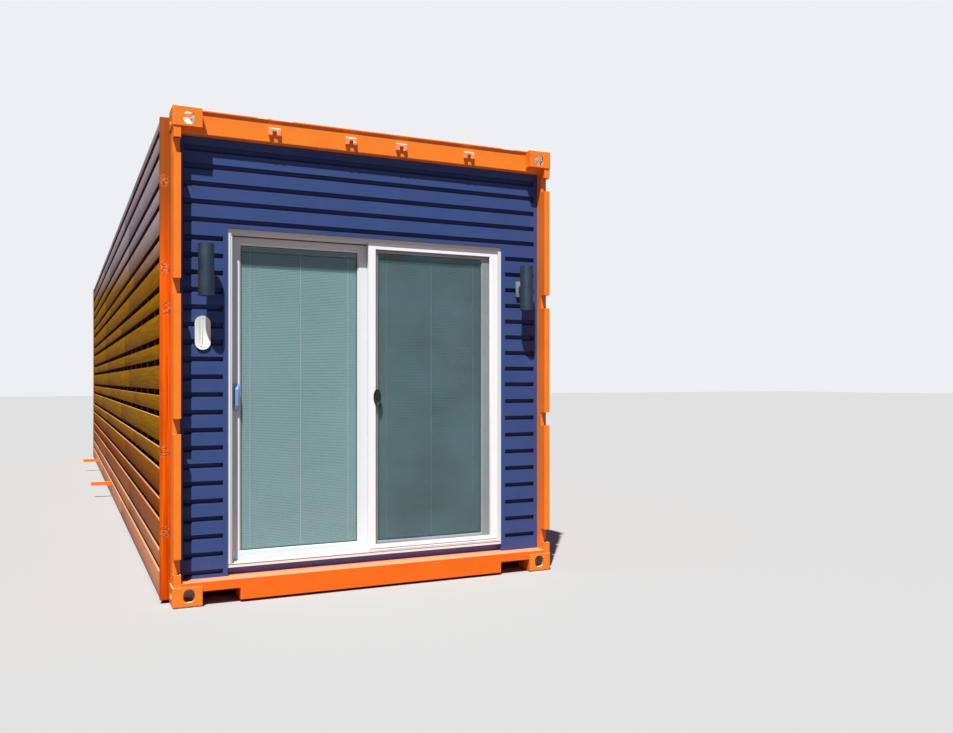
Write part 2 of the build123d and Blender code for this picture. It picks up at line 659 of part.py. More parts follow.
def frame_band(y0, y1, reach):
    """One depth band of the outer frame, as wide all round as it reaches."""
    return ring(FRAME_LEFT, FRAME_RIGHT, y0, y1, FRAME_BOTTOM, FRAME_TOP, reach, reach, reach, reach)


def door_frame():
    """The outer frame: lips in front and behind, dividers between its channels, and two tracks."""
    frame = frame_band(FRAME_FRONT, FRAME_BACK, CHANNEL_FLOOR)
    frame += frame_band(FRAME_FRONT, FRAME_FRONT + FRONT_LIP, LIP_REACH)
    frame += frame_band(FIXED_FRONT - DIVIDER, FIXED_FRONT, DIVIDER_REACH)
    frame += frame_band(FIXED_BACK, FIXED_BACK + DIVIDER, DIVIDER_REACH)
    frame += frame_band(FRAME_BACK - REAR_LIP, FRAME_BACK, LIP_REACH)
    for middle in (0.5 * (SCREEN_FRONT + SCREEN_BACK), 0.5 * (LEAF_FRONT + LEAF_BACK)):
        frame += block(CHANNEL_LEFT, CHANNEL_RIGHT, middle - 0.5 * TRACK_THICKNESS,
                       middle + 0.5 * TRACK_THICKNESS, CHANNEL_BOTTOM, TRACK_TOP)
    return frame


def beaded(panel):
    """A panel frame with a sloping bead round its opening on the outer face."""
    return chamfer(panel.faces().sort_by(Axis.Y)[0].inner_wires()[0].edges(), BEAD)


def panes(left, right, front, low, high):
    """The outer and the inner pane of a glazed panel."""
    back = front + GLASS_THICKNESS
    outer = block(left, right, front, front + PANE, low, high)
    inner = block(left, right, back - PANE, back, low, high)
    return [outer, inner]


def fixed_panel():
    """The fixed panel's frame and its two panes."""
    sash = beaded(ring(FIXED_LEFT, CHANNEL_RIGHT, FIXED_FRONT, FIXED_BACK, CHANNEL_BOTTOM, CHANNEL_TOP,
                       FIXED_MEETING_STILE, FIXED_OUTER_STILE, FIXED_BOTTOM_FACE, FIXED_TOP_FACE))
    start = FIXED_FRONT + 0.5 * (LEAF_THICKNESS - GLASS_THICKNESS)
    glass = panes(FIXED_LEFT + FIXED_MEETING_STILE, CHANNEL_RIGHT - FIXED_OUTER_STILE, start,
                  CHANNEL_BOTTOM + FIXED_BOTTOM_FACE, CHANNEL_TOP - FIXED_TOP_FACE)
    return {"fixed_sash": sash, "fixed_glass": glass}


def rollers(left, right, middle, width):
    """Two wheels that stand just clear of their track, each housed in the rail over it."""
    centre = TRACK_TOP + ROLLER_GAP + ROLLER_RADIUS
    wheel = Rot(90, 0, 0) * Cylinder(ROLLER_RADIUS, width)
    return [Pos(place, middle, centre) * wheel for place in (left + ROLLER_FROM_END, right - ROLLER_FROM_END)]


def sliding_leaf():
    """The sliding leaf's frame, with its rollers, and its two panes."""
    sash = beaded(ring(LEAF_LEFT, LEAF_RIGHT, LEAF_FRONT, LEAF_BACK, RUNNING_BOTTOM, RUNNING_TOP,
                       LEAF_OUTER_STILE, LEAF_MEETING_STILE, LEAF_BOTTOM_FACE, LEAF_TOP_FACE))
    sash += rollers(LEAF_LEFT, LEAF_RIGHT, 0.5 * (LEAF_FRONT + LEAF_BACK), ROLLER_WIDTH)
    start = LEAF_FRONT + 0.5 * (LEAF_THICKNESS - GLASS_THICKNESS)
    glass = panes(LEAF_LEFT + LEAF_OUTER_STILE, LEAF_RIGHT - LEAF_MEETING_STILE, start,
                  RUNNING_BOTTOM + LEAF_BOTTOM_FACE, RUNNING_TOP - LEAF_TOP_FACE)
    return {"sliding_sash": sash, "sliding_glass": glass}


def pull():
    """The outer pull of the leaf: a plate and a grip that leans out at both ends."""
    left = LEAF_LEFT + HANDLE_INSET
    middle = left + 0.5 * HANDLE_WIDTH
    half = 0.5 * HANDLE_LENGTH
    plate = block(left, left + HANDLE_WIDTH, LEAF_FRONT - HANDLE_PLATE, LEAF_FRONT, HANDLE_CENTRE - half,
                  HANDLE_CENTRE + half)
    plate = fillet(plate.edges().filter_by(Axis.Y), 0.3 * HANDLE_WIDTH)
    base = LEAF_FRONT - HANDLE_PLATE
    tip = LEAF_FRONT - HANDLE_REACH
    outer = make_face(Polyline((base, HANDLE_CENTRE - 0.9 * half), (tip, HANDLE_CENTRE - 0.6 * half),
                               (tip, HANDLE_CENTRE + 0.6 * half), (base, HANDLE_CENTRE + 0.9 * half),
                               close=True))
    inner = make_face(Polyline((base, HANDLE_CENTRE - 0.65 * half),
                               (tip + GRIP_THICKNESS, HANDLE_CENTRE - 0.48 * half),
                               (tip + GRIP_THICKNESS, HANDLE_CENTRE + 0.48 * half),
                               (base, HANDLE_CENTRE + 0.65 * half), close=True))
    grip = extrude(Plane.YZ * (outer - inner), GRIP_WIDTH)
    grip = Pos(middle - 0.5 * GRIP_WIDTH, 0, 0) * grip
    grip = fillet(grip.edges().group_by(Axis.Y)[0].filter_by(Axis.Z), 0.25 * GRIP_THICKNESS)
    return plate + grip


def sash_handle():
    """The outer pull and the same pull on the room side."""
    outside = pull()
    return [outside, Pos(0, LEAF_FRONT + LEAF_BACK, 0) * mirror(outside, about=Plane.XZ)]


def insect_screen():
    """The screen's frame with its rollers, its mesh and its latch."""
    middle = 0.5 * (SCREEN_FRONT + SCREEN_BACK)
    frame = ring(SCREEN_LEFT, SCREEN_RIGHT, SCREEN_FRONT, SCREEN_BACK, RUNNING_BOTTOM, RUNNING_TOP,
                 SCREEN_STILE, SCREEN_STILE, SCREEN_RAIL, SCREEN_RAIL)
    frame += rollers(SCREEN_LEFT, SCREEN_RIGHT, middle, 0.5 * ROLLER_WIDTH)
    mesh = block(SCREEN_LEFT + SCREEN_STILE, SCREEN_RIGHT - SCREEN_STILE, middle - 0.5 * MESH_THICKNESS,
                 middle + 0.5 * MESH_THICKNESS, RUNNING_BOTTOM + SCREEN_RAIL, RUNNING_TOP - SCREEN_RAIL)
    face = Plane(origin=(SCREEN_LEFT + LATCH_INSET, SCREEN_FRONT, LATCH_CENTRE),
                 x_dir=(0, 0, 1), z_dir=(0, -1, 0))
    latch = extrude(face * Ellipse(0.5 * LATCH_LENGTH, 0.5 * LATCH_WIDTH), LATCH_THICKNESS)
    return {"screen_frame": frame, "screen_mesh": mesh, "screen_latch": latch}


def door_set():
    """Every piece of the patio door."""
    pieces = {"door_frame": door_frame()}
    pieces.update(fixed_panel())
    pieces.update(sliding_leaf())
    pieces["sash_handle"] = sash_handle()
    pieces.update(insect_screen())
    return pieces


# Blinds
def blind(left, right, front, low, high):
    """One blind, hung from the top rail of its panel in the space between the two panes."""
    clear = PANE + BLIND_PANE_GAP
    return block(left + BLIND_SIDE_GAP, right - BLIND_SIDE_GAP, front + clear,
                 front + GLASS_THICKNESS - clear, low + BLIND_FOOT_GAP, high)


def blinds():
    """The blind of the sliding leaf and the blind of the fixed panel."""
    rebate = 0.5 * (LEAF_THICKNESS - GLASS_THICKNESS)
    return {
        "left_blind": blind(LEAF_LEFT + LEAF_OUTER_STILE, LEAF_RIGHT - LEAF_MEETING_STILE, LEAF_FRONT + rebate,
                            RUNNING_BOTTOM + LEAF_BOTTOM_FACE, RUNNING_TOP - LEAF_TOP_FACE),
        "right_blind": blind(FIXED_LEFT + FIXED_MEETING_STILE, CHANNEL_RIGHT - FIXED_OUTER_STILE,
                             FIXED_FRONT + rebate, CHANNEL_BOTTOM + FIXED_BOTTOM_FACE,
                             CHANNEL_TOP - FIXED_TOP_FACE),
    }


# Lamps and thermometer
def lamp(middle, height):
    """An upright tube, open at both ends, on an arm and a back plate."""
    body = Cylinder(0.5 * LAMP_DIAMETER, LAMP_LENGTH)
    recess = Cylinder(0.5 * LAMP_DIAMETER - LAMP_WALL, LAMP_RECESS)
    body -= Pos(0, 0, 0.5 * (LAMP_LENGTH - LAMP_RECESS)) * recess
    body -= Pos(0, 0, -0.5 * (LAMP_LENGTH - LAMP_RECESS)) * recess
    body = Pos(middle, LAMP_AXIS, height) * body
    plate_front = WALL_FRONT - LAMP_PLATE_THICKNESS
    half = 0.5 * LAMP_ARM_SIZE
    body += block(middle - half, middle + half, LAMP_AXIS + 0.3 * LAMP_DIAMETER, plate_front,
                  height - half, height + half)
    body += block(middle - 0.5 * LAMP_PLATE_WIDTH, middle + 0.5 * LAMP_PLATE_WIDTH, plate_front, WALL_FRONT,
                  height - 0.5 * LAMP_PLATE_HEIGHT, height + 0.5 * LAMP_PLATE_HEIGHT)
    return body


def wall_lamps():
    """The lamp on each side of the door."""
    return [lamp(BESIDE_DOOR, LEFT_LAMP_CENTRE_HEIGHT), lamp(WIDTH - BESIDE_DOOR, RIGHT_LAMP_CENTRE_HEIGHT)]


def wall_thermometer():
    """A long plate with round ends."""
    face = Plane(origin=(BESIDE_DOOR - DIAL_SHIFT, WALL_FRONT, DIAL_CENTRE), x_dir=(0, 0, 1),
                 z_dir=(0, -1, 0))
    return extrude(face * SlotOverall(DIAL_HEIGHT, DIAL_WIDTH), DIAL_THICKNESS)


def all_nodes():
    """Every node by name, as one shape or a list of shapes."""
    nodes = castings()
    nodes["front_left_post"] = front_post()
    nodes["front_right_post"] = mirrored_x(front_post())
    nodes["rear_corner_posts"] = [rear_post(), mirrored_x(rear_post())]
    nodes["door_header"] = door_header()
    nodes["cam_keepers"] = cam_keepers()
    nodes["door_sill"] = door_sill()
    nodes["threshold_strip"] = threshold_strip()
    nodes.update(front_walls())
    nodes["top_side_rails"] = [top_side_rail(), mirrored_x(top_side_rail())]
    nodes["bottom_side_rails"] = [bottom_side_rail(), mirrored_x(bottom_side_rail())]
    nodes["rear_top_rail"] = rear_top_rail()
    nodes["rear_bottom_rail"] = rear_bottom_rail()
    nodes["left_side_panel"] = side_panel()
    nodes["right_side_panel"] = mirrored_x(side_panel())
    nodes["rear_end_panel"] = rear_end_panel()
    nodes["roof_panel"] = roof_panel()
    nodes["cross_members"] = cross_members()
    nodes["floor_deck"] = floor_deck()
    nodes["wall_linings"] = wall_linings()
    nodes["ceiling_lining"] = ceiling_lining()
    nodes["cladding_battens"] = cladding_battens()
    nodes["cladding_boards"] = cladding_boards()
    nodes["cladding_trims"] = cladding_trims()
    nodes["cladding_brackets"] = cladding_brackets()
    nodes.update(door_set())
    nodes.update(blinds())
    nodes["wall_lamps"] = wall_lamps()
    nodes["wall_thermometer"] = wall_thermometer()
    return nodes


def write_nodes():
    """Move every node to the common origin and write its STEP file."""
    os.makedirs("parts", exist_ok=True)
    for name, shape in all_nodes().items():
        pieces = shape if isinstance(shape, list) else [shape]
        placed = [Pos(-CENTRE_X, -CENTRE_Y, 0) * piece for piece in pieces]
        solids = [solid for piece in placed for solid in piece.solids()]
        export_step(solids[0] if len(solids) == 1 else Compound(children=solids), f"parts/{name}.step")


write_nodes()
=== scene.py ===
"""Looks of a container cabin, dressed around its packed construction model.

The frame is in metres: +Z is up, -Y points out of the door end and +X to the right of someone who
faces that end. Sizes are written in container millimetres, which run from the left side, the front
of the castings and the ground, and plan() turns them into the frame.
"""

from __future__ import annotations
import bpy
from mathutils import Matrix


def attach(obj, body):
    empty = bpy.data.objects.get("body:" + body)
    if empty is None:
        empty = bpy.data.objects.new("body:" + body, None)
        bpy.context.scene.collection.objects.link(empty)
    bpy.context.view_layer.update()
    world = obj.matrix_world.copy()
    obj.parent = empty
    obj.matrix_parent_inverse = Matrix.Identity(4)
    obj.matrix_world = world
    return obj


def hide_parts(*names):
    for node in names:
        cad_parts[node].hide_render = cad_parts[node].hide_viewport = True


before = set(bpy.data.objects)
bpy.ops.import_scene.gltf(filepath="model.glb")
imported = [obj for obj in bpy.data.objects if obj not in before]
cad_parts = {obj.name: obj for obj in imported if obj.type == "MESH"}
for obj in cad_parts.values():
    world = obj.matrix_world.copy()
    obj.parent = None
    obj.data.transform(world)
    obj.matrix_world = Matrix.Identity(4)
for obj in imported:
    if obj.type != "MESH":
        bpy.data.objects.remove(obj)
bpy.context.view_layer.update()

import logging
import math
import random
from dataclasses import dataclass
from enum import Enum
from typing import Callable, Iterable, Sequence

import bmesh
import bpy
from mathutils import Matrix, Vector

LOG = logging.getLogger("container_cabin")

Piece = bpy.types.Object
Tree = bpy.types.NodeTree
Socket = bpy.types.NodeSocket
Colour = tuple[float, float, float, float]
Sizes = tuple[float, float, float]
Span = tuple[float, float]
Box = tuple[Span, Span, Span]

MM = 0.001
# The container millimetres of the frame's zero, then the container's outer sizes.
CENTRE_X_MM = 1092.0
CENTRE_Y_MM = 6077.0
WIDTH_MM = 2438.0
LENGTH_MM = 12192.0
HEIGHT_MM = 2896.0
# A face looks along an axis where its normal has at least this much of it.
FACING = 0.9


class Body(Enum):
    """The rigid bodies that a piece can ride on."""

    CABIN = "cabin"
    LEAF = "sliding_leaf"
    SCREEN = "insect_screen"


class Axis(Enum):
    """The frame's axes."""

    X = 0
    Y = 1
    Z = 2


class Element(Enum):
    """What is selected in edit mode."""

    FACE = "FACE"
    VERTEX = "VERT"


def plan(x: float, y: float, z: float) -> Vector:
    """Turn container millimetres into the frame.

    Args:
        x: Distance from the container's left outer face.
        y: Distance behind the front faces of the castings.
        z: Height over the ground.

    Returns:
        The point in metres.
    """
    return Vector(((x - CENTRE_X_MM) * MM, (y - CENTRE_Y_MM) * MM, z * MM))


def linear(code: str, share: float = 1.0) -> Colour:
    """Turn an sRGB hex colour into linear light.

    Args:
        code: Six hex digits after a hash sign.
        share: How much of the colour's light is left.

    Returns:
        Red, green, blue and an alpha of one.
    """
    channels = [int(code[i:i + 2], 16) / 255.0 for i in (1, 3, 5)]
    shades = [c / 12.92 if c <= 0.04045 else ((c + 0.055) / 1.055) ** 2.4 for c in channels]
    return shades[0] * share, shades[1] * share, shades[2] * share, 1.0


# Modelling as by hand


def deselect() -> None:
    """Leave edit mode and deselect everything."""
    if bpy.context.object is not None and bpy.context.object.mode != "OBJECT":
        bpy.ops.object.mode_set(mode="OBJECT")
    bpy.ops.object.select_all(action="DESELECT")


def pick(piece: Piece) -> None:
    """Make one piece the only selected and active one.

    Args:
        piece: The piece to pick.
    """
    deselect()
    piece.select_set(True)
    bpy.context.view_layer.objects.active = piece


def settle(piece: Piece) -> Piece:
    """Move a piece's place, turn and size into its mesh.

    Args:
        piece: The piece to settle.

    Returns:
        The same piece, at the origin.
    """
    pick(piece)
    bpy.ops.object.transform_apply(location=True, rotation=True, scale=True)
    return piece


def block(name: str, box: Box) -> Piece:
    """Add a block.

    Args:
        name: The new piece's name.
        box: Its span along X, Y and Z in container millimetres.

    Returns:
        The new piece.
    """
    low, high = (plan(*corner) for corner in zip(*box))
    deselect()
    bpy.ops.mesh.primitive_cube_add(size=1.0, location=(low + high) / 2)
    piece = bpy.context.object
    piece.name = name
    piece.scale = high - low
    return settle(piece)


def rod(name: str, centre: Vector, radius: float, length: float, axis: Axis,
        sides: int = 24) -> Piece:
    """Add a round bar along one axis.

    Args:
        name: The new piece's name.
        centre: Its middle in the frame.
        radius: Its radius in millimetres.
        length: Its length in millimetres.
        axis: The axis that it lies along.
        sides: How many sides it has.

    Returns:
        The new piece.
    """
    quarter = math.pi / 2
    turns = {Axis.X: (0.0, quarter, 0.0), Axis.Y: (quarter, 0.0, 0.0), Axis.Z: (0.0, 0.0, 0.0)}
    deselect()
    bpy.ops.mesh.primitive_cylinder_add(vertices=sides, radius=radius * MM, depth=length * MM,
                                        location=centre, rotation=turns[axis])
    piece = bpy.context.object
    piece.name = name
    return settle(piece)


def modify(piece: Piece, kind: str, **settings: object) -> Piece:
    """Add one modifier and apply it.

    Args:
        piece: The piece to work on.
        kind: The modifier's type.
        **settings: Its settings.

    Returns:
        The same piece.
    """
    pick(piece)
    modifier = piece.modifiers.new(kind, kind)
    for key, value in settings.items():
        setattr(modifier, key, value)
    bpy.ops.object.modifier_apply(modifier=modifier.name)
    return piece


def smooth(piece: Piece, angle: float = 40.0) -> Piece:
    """Shade a piece smooth except at its sharp edges.

    Args:
        piece: The piece to work on.
        angle: The angle in degrees from which an edge is sharp.

    Returns:
        The same piece.
    """
    pick(piece)
    bpy.ops.object.shade_smooth_by_angle(angle=math.radians(angle))
    return piece


def ease(piece: Piece, width: float, segments: int = 2, angle: float = 35.0) -> Piece:
    """Round a piece's sharp edges.

    Args:
        piece: The piece to work on.
        width: How far the rounding reaches, in millimetres.
        segments: How many faces it has.
        angle: The angle in degrees from which an edge is rounded.

    Returns:
        The same piece, shaded smooth between sharp edges.
    """
    modify(piece, "BEVEL", width=width * MM, segments=segments, limit_method="ANGLE",
           angle_limit=math.radians(angle))
    return smooth(piece)


def join(name: str, parts: Sequence[Piece]) -> Piece:
    """Join several meshes into one piece.

    Args:
        name: The joined piece's name.
        parts: The meshes, of which the first takes in the others.

    Returns:
        The joined piece.
    """
    deselect()
    for part in parts:
        part.select_set(True)
    bpy.context.view_layer.objects.active = parts[0]
    if len(parts) > 1:
        bpy.ops.object.join()
    parts[0].name = name
    parts[0].data.name = name
    return parts[0]


def edit(piece: Piece, wanted: Callable[..., bool], element: Element = Element.FACE) -> None:
    """Enter edit mode with only some faces or vertices selected.

    Args:
        piece: The piece to edit.
        wanted: Says of a face or vertex whether it is selected.
        element: Which of the two are looked at.
    """
    pick(piece)
    bpy.ops.object.mode_set(mode="EDIT")
    bpy.ops.mesh.select_mode(type=element.value)
    bpy.ops.mesh.select_all(action="DESELECT")
    shape = bmesh.from_edit_mesh(piece.data)
    for part in (shape.faces if element is Element.FACE else shape.verts):
        part.select = wanted(part)
    shape.select_flush_mode()
    bmesh.update_edit_mesh(piece.data)


def leave_edit() -> None:
    """Go back to object mode."""
    bpy.ops.object.mode_set(mode="OBJECT")


def press(piece: Piece, wanted: Callable[..., bool], *steps: tuple[float, Sizes]) -> None:
    """Inset some faces and move them, step after step.

    Args:
        piece: The piece to shape.
        wanted: Says of a face whether it is pressed.
        *steps: Each step's inset, and its shift along X, Y and Z, in millimetres.
    """
    edit(piece, wanted)
    for inset, shift in steps:
        bpy.ops.mesh.inset(thickness=inset * MM)
        bpy.ops.transform.translate(value=tuple(part * MM for part in shift))
    leave_edit()


def looks_out(face: bmesh.types.BMFace) -> bool:
    """Say whether a face looks out of the door end."""
    return face.normal.y < -FACING


# Finishes


def add(tree: Tree, kind: str, inputs: Sequence[object] | dict[object, object] = (),
        **settings: object) -> bpy.types.Node:
    """Add a node with its settings, values and links.

    Args:
        tree: The node tree that it joins.
        kind: The node's type without its ShaderNode prefix.
        inputs: Values or output sockets, in the inputs' order or by name or number.
        **settings: The node's own properties.

    Returns:
        The new node.
    """
    node = tree.nodes.new("ShaderNode" + kind)
    for key, value in settings.items():
        setattr(node, key, value)
    for key, value in inputs.items() if isinstance(inputs, dict) else enumerate(inputs):
        if isinstance(value, Socket):
            tree.links.new(value, node.inputs[key])
        else:
            node.inputs[key].default_value = value
    return node


def even(size: float) -> Sizes:
    """Give one size along all three axes."""
    return size, size, size


@dataclass(frozen=True)
class Pattern:
    """A soft random pattern: how large its patches are and how they fade in."""

    size_mm: Sizes
    # The noise's values at which the pattern starts to show and is full.
    low: float = 0.3
    high: float = 0.7
    # The number of its finer layers and their strength.
    layers: float = 3.0
    rough: float = 0.55


# Hand brushing leaves patches a hand's length across that are a little darker or lighter.
BRUSHED_PATCHES = Pattern(even(166.67), 0.35, 0.65, 4.0)
# Rain draws dust down the faces in long streaks.
RAIN_RUNS = Pattern((55.556, 55.556, 714.29), 0.56, 0.78, 5.0, 0.65)
# Painted highlight: casting arrises drawn pale in thumb-sized spots, the bent header lip in longer
# ones.
ARRIS_HIGHLIGHT_SPOTS = Pattern(even(33.333), 0.38, 0.46)
LIP_HIGHLIGHT_SPOTS = Pattern(even(62.5), 0.44, 0.50)
# Gloss drifts from patch to patch, a little more up than down.
PAINT_GLOSS = Pattern(even(71.429))
# Orange peel is 3 mm apart and hundredths deep; it is drawn twice as coarse and deeper to show.
ORANGE_PEEL = Pattern(even(6.25), 0.0, 1.0, 2.0)
ORANGE_PEEL_DEPTH_MM = 0.6
# Dust lies on plastic in faint palm-sized clouds.
SETTLED_DUST = Pattern(even(111.11), 0.50, 0.80, 5.0, 0.65)
PLASTIC_GLOSS = Pattern(even(50.0))
PLASTIC_GRIT_DEPTH_MM = 0.2
# Dried rain hazes a pane broadly, and its green cast changes more broadly still.
PANE_HAZE = Pattern(even(454.55), 0.35, 0.75, 4.0, 0.6)
PANE_CAST = Pattern(even(769.23), layers=2.0)
# A screen's cloth is a little darker where it sags.
CLOTH_SHADE = Pattern(even(333.33))
# Resin round a knot curls in dark and pale swirls as wide as a finger.
RESIN_SWIRLS = Pattern((14.2857, 14.2857, 8.3333), 0.46, 0.56, 3.0, 0.6)
DARK_RESIN, DARK_RESIN_SHARE = "#8A2C04", 0.85
PALE_RESIN, PALE_RESIN_SHARE = "#FFA868", 0.30
# Big knots stand on the front trim at this X and Y, each a step aside from the one before it.
KNOT_X_MM, KNOT_STEP_MM, KNOT_Y_MM = -32.0, 9.0, 178.0
# Their outlines have waves of this width, which sway them by so much to either side.
KNOT_WAVE_MM, KNOT_SWAY_MM = 26.3158, 17.5
# They are full within the first radius, gone past the second, and a third taller than wide.
KNOT_EDGE_MM = (20.0, 36.0)
KNOT_SHAPE = (1.0, 0.0, 0.75)


@dataclass(frozen=True)
class Finish:
    """What every finish shares: its name, its colour, its gloss and its bump."""

    name: str
    colour: str
    roughness: float = 0.5
    metallic: float = 0.0
    ior: float = 1.5
    bump: float = 0.0

    def make(self) -> bpy.types.Material:
        """Make the material."""
        raise NotImplementedError


class Coating:
    """A material while it is laid on: its shader, its place on the piece and its colour so far."""

    def __init__(self, finish: Finish) -> None:
        """Start the material with its shader's own values set.

        Args:
            finish: The finish that it shows.
        """
        self.material = bpy.data.materials.new(finish.name)
        self.material.use_nodes = True
        self.tree: Tree = self.material.node_tree
        self.shader = self.tree.nodes["Principled BSDF"]
        self.colour: Socket | Colour = linear(finish.colour)
        for name, value in (("Base Color", self.colour), ("Roughness", finish.roughness),
                            ("Metallic", finish.metallic), ("IOR", finish.ior)):
            self.shader.inputs[name].default_value = value
        self.place: Socket = add(self.tree, "TexCoord").outputs["Object"]

    def count(self, size_mm: Sizes) -> Socket:
        """Count the place in patches of a real size.

        Args:
            size_mm: A patch's size along X, Y and Z.

        Returns:
            The coordinates, one to a patch.
        """
        scale = tuple(1.0 / (size * MM) for size in size_mm)
        return add(self.tree, "Mapping", {"Vector": self.place, "Scale": scale}).outputs[0]

    def mottle(self, pattern: Pattern, least: float = 0.0, most: float = 1.0) -> Socket:
        """Spread a soft random pattern over the piece.

        Args:
            pattern: The pattern.
            least: Its value where it is absent.
            most: Its value where it is full.

        Returns:
            The pattern's value.
        """
        cloud = add(self.tree, "TexNoise", {
            "Vector": self.count(pattern.size_mm), "Scale": 1.0, "Detail": pattern.layers,
            "Roughness": pattern.rough}).outputs[0]
        return add(self.tree, "MapRange",
                   (cloud, pattern.low, pattern.high, least, most)).outputs[0]

    def facing(self, start: float, full: float, share: float) -> Socket:
        """Mask the faces that look up, or down where start and full are below zero.

        Args:
            start: The normal's upward part at which the mask starts.
            full: Where it is full.
            share: Its value there.

        Returns:
            The mask.
        """
        normal = add(self.tree, "NewGeometry").outputs["Normal"]
        upward = add(self.tree, "SeparateXYZ", (normal,)).outputs["Z"]
        return add(self.tree, "MapRange", (upward, start, full, 0.0, share)).outputs[0]

    def meet(self, *masks: Socket) -> Socket:
        """Mask where several masks meet.

        Args:
            *masks: The masks.

        Returns:
            Their product.
        """
        whole = masks[0]
        for mask in masks[1:]:
            whole = add(self.tree, "Math", (whole, mask), operation="MULTIPLY").outputs[0]
        return whole

    def within(self, place: Socket, middle: Vector, reach_mm: Sizes) -> Socket:
        """Mask a box.

        Args:
            place: The coordinates in metres.
            middle: The box's middle in them.
            reach_mm: Half its size along X, Y and Z.

        Returns:
            1 within the box and 0 elsewhere.
        """
        split = add(self.tree, "SeparateXYZ", (place,)).outputs
        return self.meet(*(
            add(self.tree, "Math", (part, centre, reach * MM), operation="COMPARE").outputs[0]
            for part, centre, reach in zip(split, middle, reach_mm)))

    def lay(self, mask: Socket, colour: Colour, mode: str = "MIX") -> None:
        """Lay a colour over what is there.

        Args:
            mask: How much of it shows.
            colour: The colour in linear light.
            mode: How it mixes with what is there.
        """
        self.colour = add(self.tree, "Mix", {0: mask, 6: self.colour, 7: colour},
                          data_type="RGBA", blend_type=mode).outputs[2]

    def done(self, inputs: dict[str, Socket]) -> bpy.types.Material:
        """Link the laid colour and more to the shader.

        Args:
            inputs: What else is linked, by the name of the shader's input.

        Returns:
            The finished material.
        """
        for name, socket in {"Base Color": self.colour, **inputs}.items():
            self.tree.links.new(socket, self.shader.inputs[name])
        return self.material


class PaintedHighlight(Enum):
    """Where a painted highlight is laid on the enamel."""

    NONE = "none"
    LIP = "header lip"
    CASTING = "corner castings"


# The header's lip gets a painted highlight in two stretches: the middle of each and half its
# length.
LIP_HIGHLIGHT_STRETCHES = ((560.0, 130.0), (2085.0, 95.0))
LIP_MIDDLE_Y_MM = 28.0
LIP_HEIGHT_MM = 9.5
LIP_HIGHLIGHT = "#F6E6DA"
# A casting's arrises get a painted highlight this far down, and its hollow lies so far in from its
# corner.
ARRIS_MM = 6.0
HOLLOW_IN_MM = (81.0, 89.0, 65.0)
HOLLOW_HALF_MM = (65.6, 73.6, 37.6)
ARRIS_HIGHLIGHT = "#F8DCC8"
PALE_HOLLOW = "#F4F1EA"


@dataclass(frozen=True)
class Enamel(Finish):
    """Paint or plating on metal: an even colour with faint patches, runs of dust, chips and
    painted light.
    """

    patch_shade: float = 0.92
    dust: str = "#B98A63"
    streak: float = 0.12
    chip: str = "#C9C4BC"
    chips: float = 0.0
    chip_mm: float = 18.182
    chip_edge: Span = (0.78, 0.80)
    # The colour on upward faces: painted sheen, highlight and shade on some finishes, bare metal
    # on the keepers.
    ledge: str = "#F6D3B8"
    ledge_share: float = 0.0
    ledge_from: Span = (0.35, 0.85)
    gloss_drift: Span = (-0.06, 0.10)
    painted_highlight: PaintedHighlight = PaintedHighlight.NONE

    def make(self) -> bpy.types.Material:
        """Make the material.

        Returns:
            The material.
        """
        coat = Coating(self)
        coat.colour = linear(self.colour, self.patch_shade)
        coat.lay(coat.mottle(BRUSHED_PATCHES), linear(self.colour))
        coat.lay(coat.mottle(RAIN_RUNS, 0.0, self.streak), linear(self.dust))
        if self.chips > 0.0:
            low, high = (edge - self.chips for edge in self.chip_edge)
            bare = Pattern(even(self.chip_mm), low, high, layers=2.0)
            coat.lay(coat.mottle(bare), linear(self.chip))
        # Upward faces take the ledge colour: painted sheen on orange and sill, painted highlight
        # on castings, painted shade in navy grooves.
        if self.ledge_share > 0.0:
            coat.lay(coat.facing(*self.ledge_from, self.ledge_share), linear(self.ledge))
        # Painted highlights: along the header's lip, and along the castings' arrises.
        if self.painted_highlight is PaintedHighlight.LIP:
            self.paint_lip_highlight(coat)
        elif self.painted_highlight is PaintedHighlight.CASTING:
            self.paint_casting_highlight_and_hollow(coat)
        gloss = coat.mottle(PAINT_GLOSS, *(self.roughness + drift for drift in self.gloss_drift))
        peel = add(coat.tree, "Bump", {
            "Height": coat.mottle(ORANGE_PEEL), "Distance": ORANGE_PEEL_DEPTH_MM * MM,
            "Strength": self.bump}).outputs[0]
        return coat.done({"Roughness": gloss, "Normal": peel})

    def paint_lip_highlight(self, coat: Coating) -> None:
        """Paint a highlight on the front of the header's top lip in two stretches.

        Args:
            coat: The material so far.
        """
        stretches = [coat.within(coat.place, plan(middle, LIP_MIDDLE_Y_MM, HEIGHT_MM),
                                 (reach, LIP_MIDDLE_Y_MM, LIP_HEIGHT_MM))
                     for middle, reach in LIP_HIGHLIGHT_STRETCHES]
        either = add(coat.tree, "Math", stretches, operation="MAXIMUM").outputs[0]
        coat.lay(coat.meet(either, coat.mottle(LIP_HIGHLIGHT_SPOTS)), linear(LIP_HIGHLIGHT))

    def paint_casting_highlight_and_hollow(self, coat: Coating) -> None:
        """Paint a highlight on the castings' top and bottom arrises, and leave their insides pale.

        Args:
            coat: The material so far.
        """
        # All eight castings fall on one another when each axis is folded at the middle.
        half = Vector((WIDTH_MM, LENGTH_MM, HEIGHT_MM)) * 0.5 * MM
        away = add(coat.tree, "VectorMath", (coat.place, plan(0.0, 0.0, 0.0) + half),
                   operation="SUBTRACT").outputs[0]
        folded = add(coat.tree, "VectorMath", (away,), operation="ABSOLUTE").outputs[0]
        arris = coat.within(folded, half, (WIDTH_MM, LENGTH_MM, ARRIS_MM))
        coat.lay(coat.meet(arris, coat.mottle(ARRIS_HIGHLIGHT_SPOTS)), linear(ARRIS_HIGHLIGHT))
        hollow = half - Vector(HOLLOW_IN_MM) * MM
        coat.lay(coat.within(folded, hollow, HOLLOW_HALF_MM), linear(PALE_HOLLOW))


